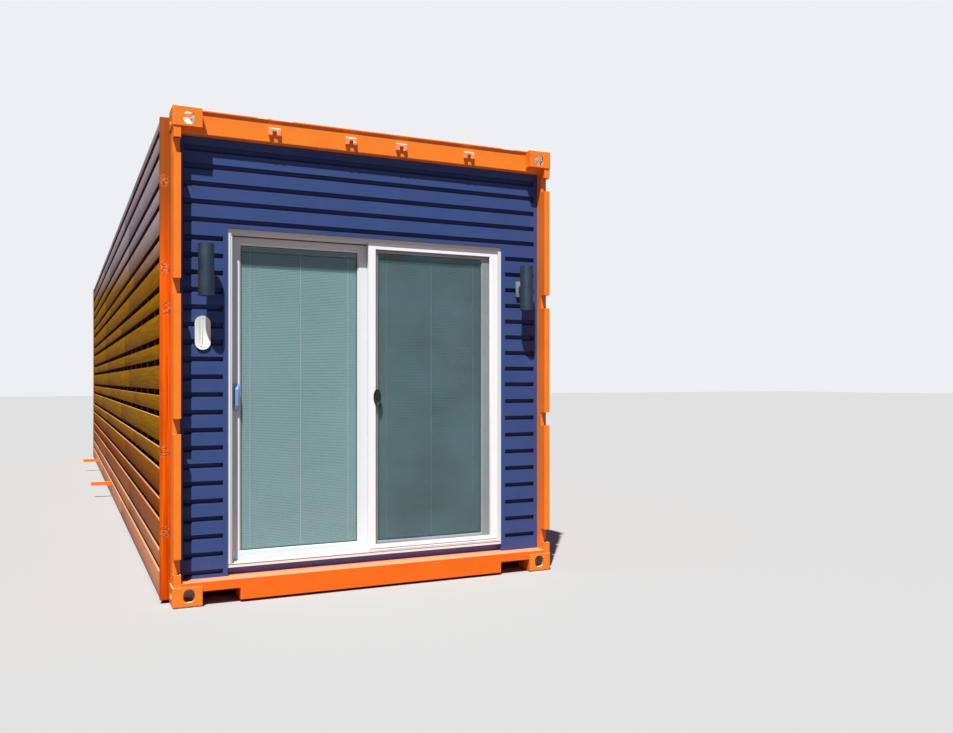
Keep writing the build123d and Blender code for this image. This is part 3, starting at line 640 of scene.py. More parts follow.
@dataclass(frozen=True)
class StainedTimber(Finish):
    """Sawn softwood under a clear oil: streaks along the grain, darker latewood and some knots."""

    dark: str = "#7A3E14"
    along: Axis = Axis.Y
    # Latewood lines: how wide, how long and how deep they are.
    ring_mm: float = 9.0
    line_mm: float = 625.0
    line_depth_mm: float = 0.8
    # Darker bands: how many rings wide, how long and how strong they are.
    band_rings: float = 9.0
    band_mm: float = 2857.1
    band_share: float = 0.14
    tone_share: float = 0.06
    # Small knots: how dark they are, how far apart, and where in that they fade out.
    knots: float = 0.0
    knot_pitch_mm: Sizes = (166.67, 454.55, 111.11)
    knot_edge: Span = (0.04, 0.16)
    knot: str = "#3A1A0A"
    big_knots: tuple[float, ...] = ()
    # Foot, splash and crown: their colour, the heights between which they fade, their strength.
    foot: str = ""
    foot_mm: Span = (620.0, 1000.0)
    foot_share: float = 0.80
    splash: str = ""
    splash_mm: Span = (50.0, 500.0)
    splash_share: float = 0.85
    crown: str = ""
    crown_mm: Span = (2000.0, 2300.0)
    crown_share: float = 0.75
    crown_lean: float = 0.0
    # Top and bottom edges, painted highlight and painted shade: their colour, from where in the
    # normal they show, their strength.
    ledge: str = ""
    ledge_facing: Sizes = (0.4, 0.9, 0.6)
    under: str = ""
    under_facing: Sizes = (-0.3, -0.8, 0.92)

    def lengthwise(self, across: float, along: float) -> Sizes:
        """Give a size along each axis.

        Args:
            across: The size across the grain.
            along: The size along it.

        Returns:
            The sizes along X, Y and Z.
        """
        x, y, z = (along if axis is self.along else across for axis in Axis)
        return x, y, z

    def make(self) -> bpy.types.Material:
        """Make the material.

        Returns:
            The material.
        """
        coat = Coating(self)
        # Latewood lines run the length of the board, and broad bands cross its width.
        lines = coat.mottle(Pattern(self.lengthwise(self.ring_mm, self.line_mm), 0.38, 0.66,
                                    layers=4.0, rough=0.6))
        coat.colour = linear(self.dark)
        coat.lay(lines, linear(self.colour))
        bands = Pattern(self.lengthwise(self.ring_mm * self.band_rings, self.band_mm),
                        0.35, 0.65, layers=2.0)
        coat.lay(coat.mottle(bands, 0.0, self.band_share), linear(self.dark))
        # Each board has its own tone.
        tone = add(coat.tree, "Attribute", attribute_name="tone").outputs["Fac"]
        share = add(coat.tree, "Math", (tone, self.tone_share), operation="MULTIPLY").outputs[0]
        coat.lay(share, linear(self.dark), "MULTIPLY")
        if self.knots > 0.0:
            cells = add(coat.tree, "TexVoronoi", {
                "Vector": coat.count(self.knot_pitch_mm), "Scale": 1.0, "Randomness": 0.9})
            knot = add(coat.tree, "MapRange", (cells.outputs["Distance"], *self.knot_edge,
                                               self.knots, 0.0)).outputs[0]
            coat.lay(knot, linear(self.knot))
        self.lay_stains_and_painted_light(coat)
        self.lay_big_knots(coat)
        relief = add(coat.tree, "Bump", {
            "Height": lines, "Distance": self.line_depth_mm * MM,
            "Strength": self.bump}).outputs[0]
        return coat.done({"Normal": relief})

    def lay_stains_and_painted_light(self, coat: Coating) -> None:
        """Lay the ground's marks on the boards, and their painted reflection, highlight and shade.

        Args:
            coat: The material so far.
        """
        _, y, z = add(coat.tree, "SeparateXYZ", (coat.place,)).outputs
        # The crown, a painted reflection on the boards, leans: it reaches lowest at the door end.
        level = add(coat.tree, "Math", (y, -self.crown_lean, z),
                    operation="MULTIPLY_ADD").outputs[0]
        for colour, height, (start, end), first, last in (
                # Splashed red earth darkens and reddens the lowest boards.
                (self.foot, z, self.foot_mm, self.foot_share, 0.0),
                # Pale dust from the ground has splashed up and dried on the boards near it.
                (self.splash, z, self.splash_mm, self.splash_share, 0.0),
                # The highest part takes the crown colour; on the boards it is a painted
                # grey-violet reflection of the sky.
                (self.crown, level, self.crown_mm, 0.0, self.crown_share)):
            if colour:
                reach = add(coat.tree, "MapRange", (height, start * MM, end * MM, first, last))
                coat.lay(reach.outputs[0], linear(colour))
        if self.ledge:
            # Painted highlight: the upper edges are drawn paler.
            coat.lay(coat.facing(*self.ledge_facing), linear(self.ledge))
        if self.under:
            # Painted shade: the undersides are drawn dark.
            coat.lay(coat.facing(*self.under_facing), linear(self.under))

    def lay_big_knots(self, coat: Coating) -> None:
        """Lay big knots at given heights: dark and pale resinous swirls about 55 mm wide.

        Args:
            coat: The material so far.
        """
        if not self.big_knots:
            return
        waves = add(coat.tree, "TexNoise", {
            "Vector": coat.count(even(KNOT_WAVE_MM)), "Scale": 1.0, "Detail": 3.0})
        sway = Vector(even(KNOT_SWAY_MM)) * MM
        swayed = add(coat.tree, "VectorMath", (waves.outputs["Color"], 2.0 * sway, coat.place),
                     operation="MULTIPLY_ADD").outputs[0]
        dark = coat.mottle(RESIN_SWIRLS, 0.0, DARK_RESIN_SHARE)
        pale = coat.mottle(RESIN_SWIRLS, PALE_RESIN_SHARE, 0.0)
        full, gone = (radius * MM for radius in KNOT_EDGE_MM)
        for number, level in enumerate(self.big_knots):
            eye = plan(KNOT_X_MM + KNOT_STEP_MM * (number % 3), KNOT_Y_MM, level) + sway
            away = add(coat.tree, "VectorMath", (swayed, eye), operation="SUBTRACT").outputs[0]
            flat = add(coat.tree, "VectorMath", (away, KNOT_SHAPE),
                       operation="MULTIPLY").outputs[0]
            reach = add(coat.tree, "VectorMath", (flat,), operation="LENGTH").outputs["Value"]
            near = add(coat.tree, "MapRange", (reach, full, gone, 1.0, 0.0)).outputs[0]
            coat.lay(coat.meet(near, dark), linear(DARK_RESIN))
            coat.lay(coat.meet(near, pale), linear(PALE_RESIN))


@dataclass(frozen=True)
class Plastic(Finish):
    """Moulded or extruded plastic: nearly even, with faint dust and a fine texture."""

    dust: str = "#B9B4A8"
    dirt: float = 0.12
    grit_mm: float = 1.1111
    gloss_drift: Span = (-0.04, 0.08)
    # Laps: how far apart, at what height the first is, their shade, its strength and its fade.
    lap_mm: float = 0.0
    first_lap_mm: float = 0.0
    lap: str = "#33484A"
    lap_share: float = 0.62
    lap_edge: Span = (0.10, 0.45)

    def make(self) -> bpy.types.Material:
        """Make the material.

        Returns:
            The material.
        """
        coat = Coating(self)
        coat.lay(coat.mottle(SETTLED_DUST, 0.0, self.dirt), linear(self.dust))
        if self.lap_mm > 0.0:
            # Painted shade: where one slat laps the next, a fine dark line is drawn, with a little
            # dust.
            height = add(coat.tree, "SeparateXYZ", (coat.place,)).outputs["Z"]
            slats = add(coat.tree, "Math", (height, 1.0 / (self.lap_mm * MM),
                                            -self.first_lap_mm / self.lap_mm),
                        operation="MULTIPLY_ADD").outputs[0]
            part = add(coat.tree, "Math", (slats,), operation="FRACT").outputs[0]
            lap = add(coat.tree, "MapRange", (part, *self.lap_edge, self.lap_share, 0.0))
            coat.lay(lap.outputs[0], linear(self.lap))
        gloss = coat.mottle(PLASTIC_GLOSS, *(self.roughness + drift for drift in self.gloss_drift))
        grit = add(coat.tree, "Bump", {
            "Height": coat.mottle(Pattern(even(self.grit_mm), 0.0, 1.0, layers=1.0)),
            "Distance": PLASTIC_GRIT_DEPTH_MM * MM, "Strength": self.bump}).outputs[0]
        return coat.done({"Roughness": gloss, "Normal": grit})


@dataclass(frozen=True)
class Pane(Finish):
    """Float glass with a faint green cast, a haze of dried rain and a clear reflection."""

    alpha: float = 0.25
    haze: Span = (-0.02, 0.03)
    cast_shade: float = 0.88

    def make(self) -> bpy.types.Material:
        """Make the material.

        Returns:
            The material.
        """
        coat = Coating(self)
        haze = coat.mottle(PANE_HAZE, *(self.alpha + share for share in self.haze))
        coat.lay(coat.mottle(PANE_CAST), linear(self.colour, self.cast_shade))
        coat.material.surface_render_method = "BLENDED"
        return coat.done({"Alpha": haze})


@dataclass(frozen=True)
class Mesh(Finish):
    """Woven insect screen: square threads with clear holes between them."""

    # Real threads are 1.4 mm apart; they are drawn wider apart so that they don't vanish.
    pitch_mm: float = 3.2
    cover: float = 0.5
    shade: str = "#2A2C2E"

    def make(self) -> bpy.types.Material:
        """Make the material.

        Returns:
            The material.
        """
        coat = Coating(self)
        x, _, z = add(coat.tree, "SeparateXYZ", (coat.place,)).outputs
        width = 1.0 - math.sqrt(1.0 - self.cover)
        threads = []
        for across in (x, z):
            turns = add(coat.tree, "Math", (across, 1.0 / (self.pitch_mm * MM)),
                        operation="MULTIPLY").outputs[0]
            part = add(coat.tree, "Math", (turns,), operation="FRACT").outputs[0]
            threads.append(add(coat.tree, "Math", (part, width),
                               operation="LESS_THAN").outputs[0])
        cloth = add(coat.tree, "Math", threads, operation="MAXIMUM").outputs[0]
        coat.lay(coat.mottle(CLOTH_SHADE), linear(self.shade))
        coat.material.surface_render_method = "DITHERED"
        return coat.done({"Alpha": cloth})


class Paint(Enum):
    """Every finish of the cabin, with the recipe of its material."""

    # Hand-brushed orange enamel over steel: bright, half gloss, with runs of dust and a pale
    # painted sheen on faces that look up.
    ORANGE = Enamel("orange_enamel_on_steel", "#FF8722", 0.40, bump=0.25, dust="#E89450",
                    streak=0.06, ledge_share=0.45)
    # The roof has only dulled a little: its paint is chalky, not pale.
    ROOF = Enamel("sun_dulled_orange_enamel", "#F47818", 0.6, dust="#D88850", streak=0.05)
    # The sill was repainted last: the strongest orange of all, with a pale painted sheen on its
    # top.
    SILL = Enamel("fresh_orange_enamel_on_sill", "#FF7108", 0.42, bump=0.25, dust="#E07A30",
                  streak=0.05, ledge="#FFC8A4", ledge_share=0.45)
    # The header's enamel, with a painted highlight along its top lip.
    HEADER = Enamel("orange_enamel_on_header", "#FF8722", 0.40, bump=0.25, dust="#E89450",
                    streak=0.06, painted_highlight=PaintedHighlight.LIP)
    # The same enamel on cast steel, whose hollow inside is still pale; arrises and upward faces
    # get a painted highlight.
    CASTING = Enamel("orange_enamel_on_castings", "#FF8722", 0.40, bump=0.5, chips=0.02,
                     dust="#E89450", ledge_share=0.75, painted_highlight=PaintedHighlight.CASTING)
    # Painted shade: the side sheet behind the boards is drawn dull dark red for orange enamel deep
    # in shade, with a few chips.
    OXIDE = Enamel("dark_red_side_sheet_shade", "#50140A", 0.8, dust="#7A4A34", bump=0.4, chips=0.03)
    # Enamel scraped to bright metal where locking bars once bore on it.
    KEEPER = Enamel("chipped_enamel_on_keepers", "#FF9E68", 0.5, bump=0.5, chips=0.17,
                    chip="#F6E8DC", ledge="#FFF4EA", ledge_share=0.9)
    # Satin navy wall paint: even, with dusty runs; painted shade makes the grooves' upward lips
    # nearly black.
    NAVY = Enamel("navy_satin_wall_paint", "#3D5186", 0.55, ior=1.2, dust="#6E789C", bump=0.12,
                  streak=0.06, ledge="#101630", ledge_share=0.80)
    # The navy of the strip under the door, drawn lighter, bluer and a little violet as painted
    # light against the frame's shadow.
    STRIP = Enamel("lightened_navy_strip_paint", "#5C6CB4", 0.6, ior=1.35, dust="#8A80A8", bump=0.12)
    # Oiled boards: olive gold, reddened at the foot; painted reflection greys the top, painted
    # light marks the edges.
    BOARDS = StainedTimber("oiled_softwood_boards", "#A27606", 0.6, ior=1.08, bump=0.25,
                           dark="#8A5A04", knots=0.40, foot="#8A3E12", splash="#DFA080",
                           crown="#A09CAC", crown_mm=(2300.0, 2620.0), crown_lean=0.058,
                           ledge="#D8A878", under="#2A0A04")
    # Knotty corner timbers with a redder oil.
    TRIM = StainedTimber("oiled_knotty_trim", "#F26C08", 0.55, ior=1.2, bump=0.5, dark="#BC4604",
                         along=Axis.Z, ring_mm=14.0,
                         big_knots=(2488.0, 1971.0, 1732.0, 891.0, 420.0),
                         crown="#8A4A14", crown_mm=(1900.0, 2420.0), crown_share=0.9)
    # Sawn battens that were never planed or oiled: rough and dull, and drawn a dark red-brown as
    # painted shade in the gaps.
    BATTEN = StainedTimber("rough_sawn_battens", "#6E2A12", 0.85, bump=0.6, dark="#3E1408",
                           along=Axis.Z)
    # Varnished floor plywood: broad honey-brown figure under a low gloss.
    FLOOR = StainedTimber("varnished_floor_ply", "#A87848", 0.45, bump=0.2, dark="#7A4E28",
                          ring_mm=18.0)
    # Rolled emulsion on the linings: flat and warm white, with a roller's stipple.
    LINING = Plastic("flat_lining_paint", "#D9D6CE", 0.85, bump=0.3, grit_mm=3.3333)
    # Extruded vinyl: smooth, cool white and half gloss.
    VINYL = Plastic("extruded_white_vinyl", "#E1E7E8", 0.36, bump=0.1, dirt=0.06)
    # The screen's rolled aluminium frame is a cleaner white.
    COATED = Plastic("white_coated_aluminium", "#FAFBFC", 0.34, bump=0.1, dirt=0.05)
    # Thin grey strips stand for painted shadow in open joints and grooves between the vinyl
    # profiles, and for pile seals.
    SEAL = Plastic("grey_seal_and_joint_shadow", "#45403E", 0.9, bump=0.4)
    # Glazing rubber frames each pane with a matt black line.
    GASKET = Plastic("black_glazing_rubber", "#2B2F30", 0.7, bump=0.3)
    # Float glass: nearly clear, with the green of its edge.
    GLASS = Pane("float_glass_green_cast", "#7FB0A8", 0.05, alpha=0.20)
    # Woven coated fibre: a grey-green veil in front of the right panel.
    MESH = Mesh("woven_fibre_screen", "#2E6670", 0.8, cover=0.24)
    # Moulded black plastic: dark and half matt, with a little dust.
    BLACK = Plastic("moulded_black_plastic", "#1C1D1F", 0.62, bump=0.3, dirt=0.2)
    # Painted slats: satin, with a fine dark line of painted shade at each lap.
    SLAT = Plastic("satin_blind_slats", "#A2BEC5", 0.45, bump=0.1, dirt=0.10, lap_mm=9.85,
                   first_lap_mm=291.0)
    # Braided cord: matt and nearly white.
    CORD = Plastic("braided_blind_cord", "#E9ECE8", 0.8, bump=0.4)
    # Metallic lacquer on the lamps: dark blue-grey with a soft sheen.
    CHARCOAL = Enamel("charcoal_metallic_coat", "#4E6070", 0.50, metallic=0.9, dust="#50585E",
                      bump=0.1, streak=0.05)
    # Painted sheen: the lamps' charcoal back plates are drawn pale grey as they look in the sun.
    ZINC = Enamel("pale_grey_plate_sheen", "#86908F", 0.55, dust="#B8B8AC", bump=0.4)
    # Stoved enamel on the thermometer's plate: clean white and glossy.
    PLAQUE = Plastic("white_enamelled_plate", "#F6F7F5", 0.3, bump=0.05, dirt=0.06)
    # Printed marks, faded to grey.
    INK = Plastic("printed_scale_ink", "#8C9296", 0.5)
    # A pale blue print behind the thermometer's tube.
    SCALE_BLUE = Plastic("pale_blue_print", "#BFE4E8", 0.4)
    # Brown coated screws hardly show in the oiled boards.
    BRONZE = Enamel("brown_coated_screws", "#6E4A1C", 0.5, metallic=0.4, dust="#8A6A3C", bump=0.3)
    # Satin chrome on the handle; its pale blue is a painted reflection of the sky.
    CHROME = Enamel("satin_chrome_handle", "#9CC2F4", 0.38, metallic=0.55, dust="#C8D8EC",
                    bump=0.1, streak=0.0)


class PaintShop:
    """Every material of the cabin, made once."""

    def __init__(self) -> None:
        """Make all materials."""
        self.materials = {paint: paint.value.make() for paint in Paint}

    def dress(self, piece: Piece, paint: Paint) -> None:
        """Give a piece one finish all over.

        Args:
            piece: The piece or construction node.
            paint: The finish.
        """
        piece.data.materials.clear()
        piece.data.materials.append(self.materials[paint])


@dataclass
class Assembly:
    """What each part of the cabin shares: its finishes and how a piece is handed over."""

    shop: PaintShop

    def build(self) -> None:
        """Model and dress the part."""
        raise NotImplementedError

    def hand_over(self, piece: Piece, paint: Paint, slot: str, body: Body = Body.CABIN,
                  replaces: Iterable[str] = ()) -> None:
        """Dress a piece, let it ride on its body and report it.

        Args:
            piece: The finished piece.
            paint: Its finish.
            slot: The record's material slot; not used.
            body: The body that it moves with.
            replaces: Construction nodes that it stands for.
        """
        self.shop.dress(piece, paint)
        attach(piece, body.value)
        for node in replaces:
            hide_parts(node)
        LOG.info("%s: %d faces on %s", piece.name, len(piece.data.polygons), body.value)

    def dress_nodes(self, paint: Paint, *names: str) -> None:
        """Give construction nodes that stay a finish.

        Args:
            paint: The finish.
            *names: The nodes.
        """
        for name in names:
            self.shop.dress(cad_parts[name], paint)
            LOG.info("%s keeps its construction mesh as %s", name, paint.value.name)


@dataclass
class SteelBox(Assembly):
    """The container's own steel and its room: castings, posts, rails, sheets, floor, linings."""

    def build(self) -> None:
        """Dress the steel and the room."""
        self.dress_nodes(Paint.CASTING, "front_bottom_castings", "front_top_castings",
                         "rear_bottom_castings", "rear_top_castings")
        self.dress_nodes(Paint.HEADER, "door_header")
        self.dress_nodes(Paint.SILL, "door_sill")
        self.dress_nodes(Paint.ORANGE, "front_left_post", "front_right_post",
                         "rear_corner_posts", "top_side_rails", "bottom_side_rails",
                         "rear_top_rail", "rear_bottom_rail", "right_side_panel",
                         "rear_end_panel", "cross_members", "cladding_brackets")
        self.dress_nodes(Paint.ROOF, "roof_panel")
        # The side sheet behind the boards is drawn dark red as painted shade.
        self.dress_nodes(Paint.OXIDE, "left_side_panel")
        self.dress_nodes(Paint.KEEPER, "cam_keepers")
        self.dress_nodes(Paint.STRIP, "threshold_strip")
        self.dress_nodes(Paint.NAVY, "front_wall_left", "front_wall_over_door",
                         "front_wall_right")
        self.dress_nodes(Paint.FLOOR, "floor_deck")
        self.dress_nodes(Paint.LINING, "wall_linings", "ceiling_lining")


@dataclass
class Cladding(Assembly):
    """Boards, screws, trims and battens on the left side."""

    inside: float = -25.0
    outside: float = -44.0
    start: float = 216.0
    end: float = 11976.0
    bottom: float = 20.0
    top: float = 2858.0
    wide: float = 142.0
    narrow: float = 91.0
    gap: float = 38.25
    board_edge: float = 2.5
    board_play: float = 0.6
    end_batten: float = 30.0
    first_batten: float = 814.0
    batten_pitch: float = 556.0
    last_batten: float = 120.0
    joint: float = 2.0
    # Battens from the door end to a row's first joint, from joint to joint, and past the last.
    first_joint: tuple[int, int] = (4, 8)
    next_joint: tuple[int, int] = (6, 9)
    free_battens: int = 3
    brackets: Span = (5986.0, 9479.0)
    bracket_zs: Span = (135.0, 190.0)
    bracket_room: float = 20.0
    screw_radius: float = 4.2
    screw_height: float = 2.4
    screw_seat: float = 0.4
    # The pan's rim, and how far it stands out.
    screw_rim: float = 1.6
    screw_pan: float = 0.6
    screw_inset: float = 22.0
    lone_screw_row: float = 60.0
    screw_play: Span = (5.0, 3.0)
    trim_xs: Span = (-51.0, 6.0)
    trim_width: float = 38.0
    trim_edge: float = 3.0
    trim_tone: float = 0.2
    seed: int = 11

    def build(self) -> None:
        """Model the boards, their screws and the trims, and dress the battens."""
        self.boards()
        self.screws()
        self.trims()
        # The battens are drawn dark as painted shade in the gaps.
        self.dress_nodes(Paint.BATTEN, "cladding_battens")

    def rows(self) -> list[Span]:
        """Set out the rows of boards, wide and narrow in turn.

        Returns:
            The bottom and top of each row, from the lowest up.
        """
        rows: list[Span] = []
        level, wide = self.bottom, True
        while level < self.top - 0.5 * self.gap:
            height = min(self.wide if wide else self.narrow, self.top - level)
            rows.append((level, level + height))
            level += height + self.gap
            wide = not wide
        return rows

    def battens(self) -> list[float]:
        """Set out the upright battens.

        Returns:
            Their middles from the door end to the rear.
        """
        middles = [self.start + self.end_batten]
        middle = self.first_batten
        while middle < self.end - self.last_batten:
            middles.append(middle)
            middle += self.batten_pitch
        return middles + [self.end - self.end_batten]

    def cuts(self, draw: random.Random) -> list[float]:
        """Pick the battens on which the boards of one row meet.

        Args:
            draw: The source of chance.

        Returns:
            The boards' ends from the door end to the rear.
        """
        middles = self.battens()
        cuts = [self.start]
        step = draw.randrange(*self.first_joint)
        while step < len(middles) - self.free_battens:
            cuts.append(middles[step])
            step += draw.randrange(*self.next_joint)
        return cuts + [self.end]

    def boards(self) -> None:
        """Model every board with eased edges and a butt joint on a batten here and there."""
        draw = random.Random(self.seed)
        boards: list[Piece] = []
        slit = 0.5 * self.joint
        for row, (low, high) in enumerate(self.rows()):
            cuts = self.cuts(draw)
            for first, last in zip(cuts, cuts[1:]):
                face = self.outside - draw.uniform(-self.board_play, 0.0)
                board = block(f"board_{row}", ((face, self.inside), (first + slit, last - slit),
                                               (low, high)))
                if row == 0:
                    self.cut_for_brackets(board)
                ease(board, self.board_edge)
                self.tone(board, draw.random())
                boards.append(board)
        self.hand_over(join("cladding_board_rows", boards), Paint.BOARDS, "stained_board",
                       replaces=["cladding_boards"])

    def cut_for_brackets(self, board: Piece) -> None:
        """Cut the lowest board round both steel brackets.

        Args:
            board: The board.
        """
        room = self.bracket_room
        for middle in self.brackets:
            cutter = block("cutter", ((self.outside - room, self.inside + room),
                                      (middle - room, middle + room), self.bracket_zs))
            modify(board, "BOOLEAN", operation="DIFFERENCE", object=cutter, solver="EXACT")
            bpy.data.objects.remove(cutter)

    def tone(self, board: Piece, value: float) -> None:
        """Give a board its own tone.

        Args:
            board: The board.
            value: Its tone, from 0 for pale to 1 for dark.
        """
        tone = board.data.attributes.new("tone", "FLOAT", "POINT")
        tone.data.foreach_set("value", [value] * len(board.data.vertices))

    def screws(self) -> None:
        """Model two pan-head screws where each board crosses a batten."""
        head = rod("screw_head", plan(self.outside - self.screw_seat, 0, 0), self.screw_radius,
                   self.screw_height, Axis.X, sides=10)
        press(head, lambda face: face.normal.x < -FACING,
              (self.screw_rim, (-self.screw_pan, 0.0, 0.0)))
        smooth(head, angle=50.0)
        heads: list[Piece] = []
        draw = random.Random(self.seed + 1)
        along, up = self.screw_play
        for low, high in self.rows():
            height = high - low
            inset = self.screw_inset if height > self.lone_screw_row else 0.5 * height
            for middle in self.battens():
                # Both heights are the same on a row too low for two screws, which a set joins.
                for level in {low + inset, high - inset}:
                    step = Vector((0.0, middle + draw.uniform(-along, along),
                                   level + draw.uniform(-up, up))) * MM
                    copy = head.copy()
                    copy.data = head.data.copy()
                    copy.data.transform(Matrix.Translation(step))
                    bpy.context.scene.collection.objects.link(copy)
                    heads.append(copy)
        bpy.data.objects.remove(head)
        self.hand_over(join("cladding_screws", heads), Paint.BRONZE, "stained_board")

    def trims(self) -> None:
        """Model the knotty corner timbers with worn edges."""
        for name, first, replaces in (
                ("cladding_front_trim", self.start - self.trim_width, ["cladding_trims"]),
                ("cladding_rear_trim", self.end, [])):
            trim = block(name, (self.trim_xs, (first, first + self.trim_width),
                                (self.bottom, self.top)))
            ease(trim, self.trim_edge, segments=3)
            self.tone(trim, self.trim_tone)
            self.hand_over(trim, Paint.TRIM, "stained_trim", replaces=replaces)


@dataclass(frozen=True)
class Opening:
    """A glazed opening: its left and right, the front of what stands in it, its bottom and top."""

    xs: Span
    front: float
    zs: Span


@dataclass
class Blinds(Assembly):
    """Two closed slatted blinds, each in the space between the two panes of its panel."""

    left: Opening = Opening((411.5, 1131.0), 217.0, (277.0, 2138.0))
    right: Opening = Opening((1265.0, 1982.0), 173.0, (277.0, 2140.0))
    space: float = 8.0
    head: float = 35.0
    head_rim: float = 3.0
    foot: float = 14.0
    foot_rim: float = 4.0
    foot_play: float = 0.5
    rim_depth: float = 0.8
    rail_edge: float = 0.8
    slat_width: float = 12.5
    slat_thickness: float = 0.25
    slat_clearance: float = 4.0
    first_slat: float = 1.0
    pitch: float = 9.85
    # A slat is a few of a tube's many sides.
    slat_sides: int = 4
    tube_sides: int = 56
    cords: Sizes = (54.0, 361.0, 664.0)
    cord_setback: float = 1.4
    # Real cords are 1 mm thick; they are drawn at 2.6 mm so that they show at all.
    cord_radius: float = 1.3

    def build(self) -> None:
        """Model both blinds."""
        self.blind("left", Body.LEAF, self.left)
        self.blind("right", Body.CABIN, self.right)

    def blind(self, side: str, body: Body, opening: Opening) -> None:
        """Model one blind: slats, head rail, bottom rail and ladder cords.

        Args:
            side: left or right.
            body: The body that it rides on.
            opening: The space between the panes that it fills.
        """
        xs, front, (bottom, top) = opening.xs, opening.front, opening.zs
        back, rail_low, foot_top = front + self.space, top - self.head, bottom + self.foot
        slats = self.slats(f"{side}_blind_slats", xs, 0.5 * (front + back),
                           foot_top + self.first_slat, rail_low)
        self.hand_over(slats, Paint.SLAT, "blind_slat", body, [f"{side}_blind"])
        rails = []
        for rim, box in (
                (self.head_rim, (xs, (front, back), (rail_low, top))),
                (self.foot_rim, (xs, (front + self.foot_play, back - self.foot_play),
                                 (bottom, foot_top)))):
            rail = block("rail", box)
            press(rail, looks_out, (rim, (0.0, self.rim_depth, 0.0)))
            rails.append(ease(rail, self.rail_edge))
        self.hand_over(join(f"{side}_blind_rails", rails), Paint.SLAT, "blind_slat", body)
        length = rail_low - foot_top
        cords = [rod("cord", plan(xs[0] + offset, y, foot_top + 0.5 * length), self.cord_radius,
                     length, Axis.Z, sides=8)
                 for offset in self.cords
                 for y in (front + self.cord_setback, back - self.cord_setback)]
        self.hand_over(join(f"{side}_blind_cords", cords), Paint.CORD, "blind_slat", body)

    def slats(self, name: str, xs: Span, middle_y: float, low: float, high: float) -> Piece:
        """Model one curved slat from a strip of a tube and repeat it up the blind.

        Args:
            name: The piece's name.
            xs: Its left and right.
            middle_y: The middle of the space that it hangs in.
            low: Where the lowest slat starts.
            high: Where the highest one ends.

        Returns:
            The field of slats.
        """
        chord = 0.5 * self.slat_width
        half_angle = tilt = 0.5 * self.slat_sides * math.tau / self.tube_sides
        radius = chord / math.sin(half_angle)
        centre = plan(0.5 * (xs[0] + xs[1]), middle_y + radius * math.cos(tilt),
                      low + chord - radius * math.sin(tilt))
        deselect()
        bpy.ops.mesh.primitive_cylinder_add(
            vertices=self.tube_sides, radius=radius * MM,
            depth=(xs[1] - xs[0] - self.slat_clearance) * MM, end_fill_type="NOTHING",
            location=centre, rotation=(0.0, math.pi / 2, 0.0))
        slat = settle(bpy.context.object)
        slat.name = name
        outward = Vector((0.0, -math.cos(tilt), math.sin(tilt)))

        def spare(face: bmesh.types.BMFace) -> bool:
            """Say whether a face lies outside the slat's arc.

            Args:
                face: A face of the tube.

            Returns:
                Whether it is cut away.
            """
            arm = face.calc_center_median() - centre
            arm.x = 0.0
            return arm.normalized().dot(outward) < math.cos(half_angle)

        edit(slat, spare)
        bpy.ops.mesh.delete(type="FACE")
        leave_edit()
        modify(slat, "SOLIDIFY", thickness=self.slat_thickness * MM, offset=-1.0)
        count = int((high - low - self.slat_width) // self.pitch) + 1
        modify(slat, "ARRAY", use_relative_offset=False, use_constant_offset=True,
               constant_offset_displace=(0.0, 0.0, self.pitch * MM), count=count)
        return smooth(slat, angle=30.0)


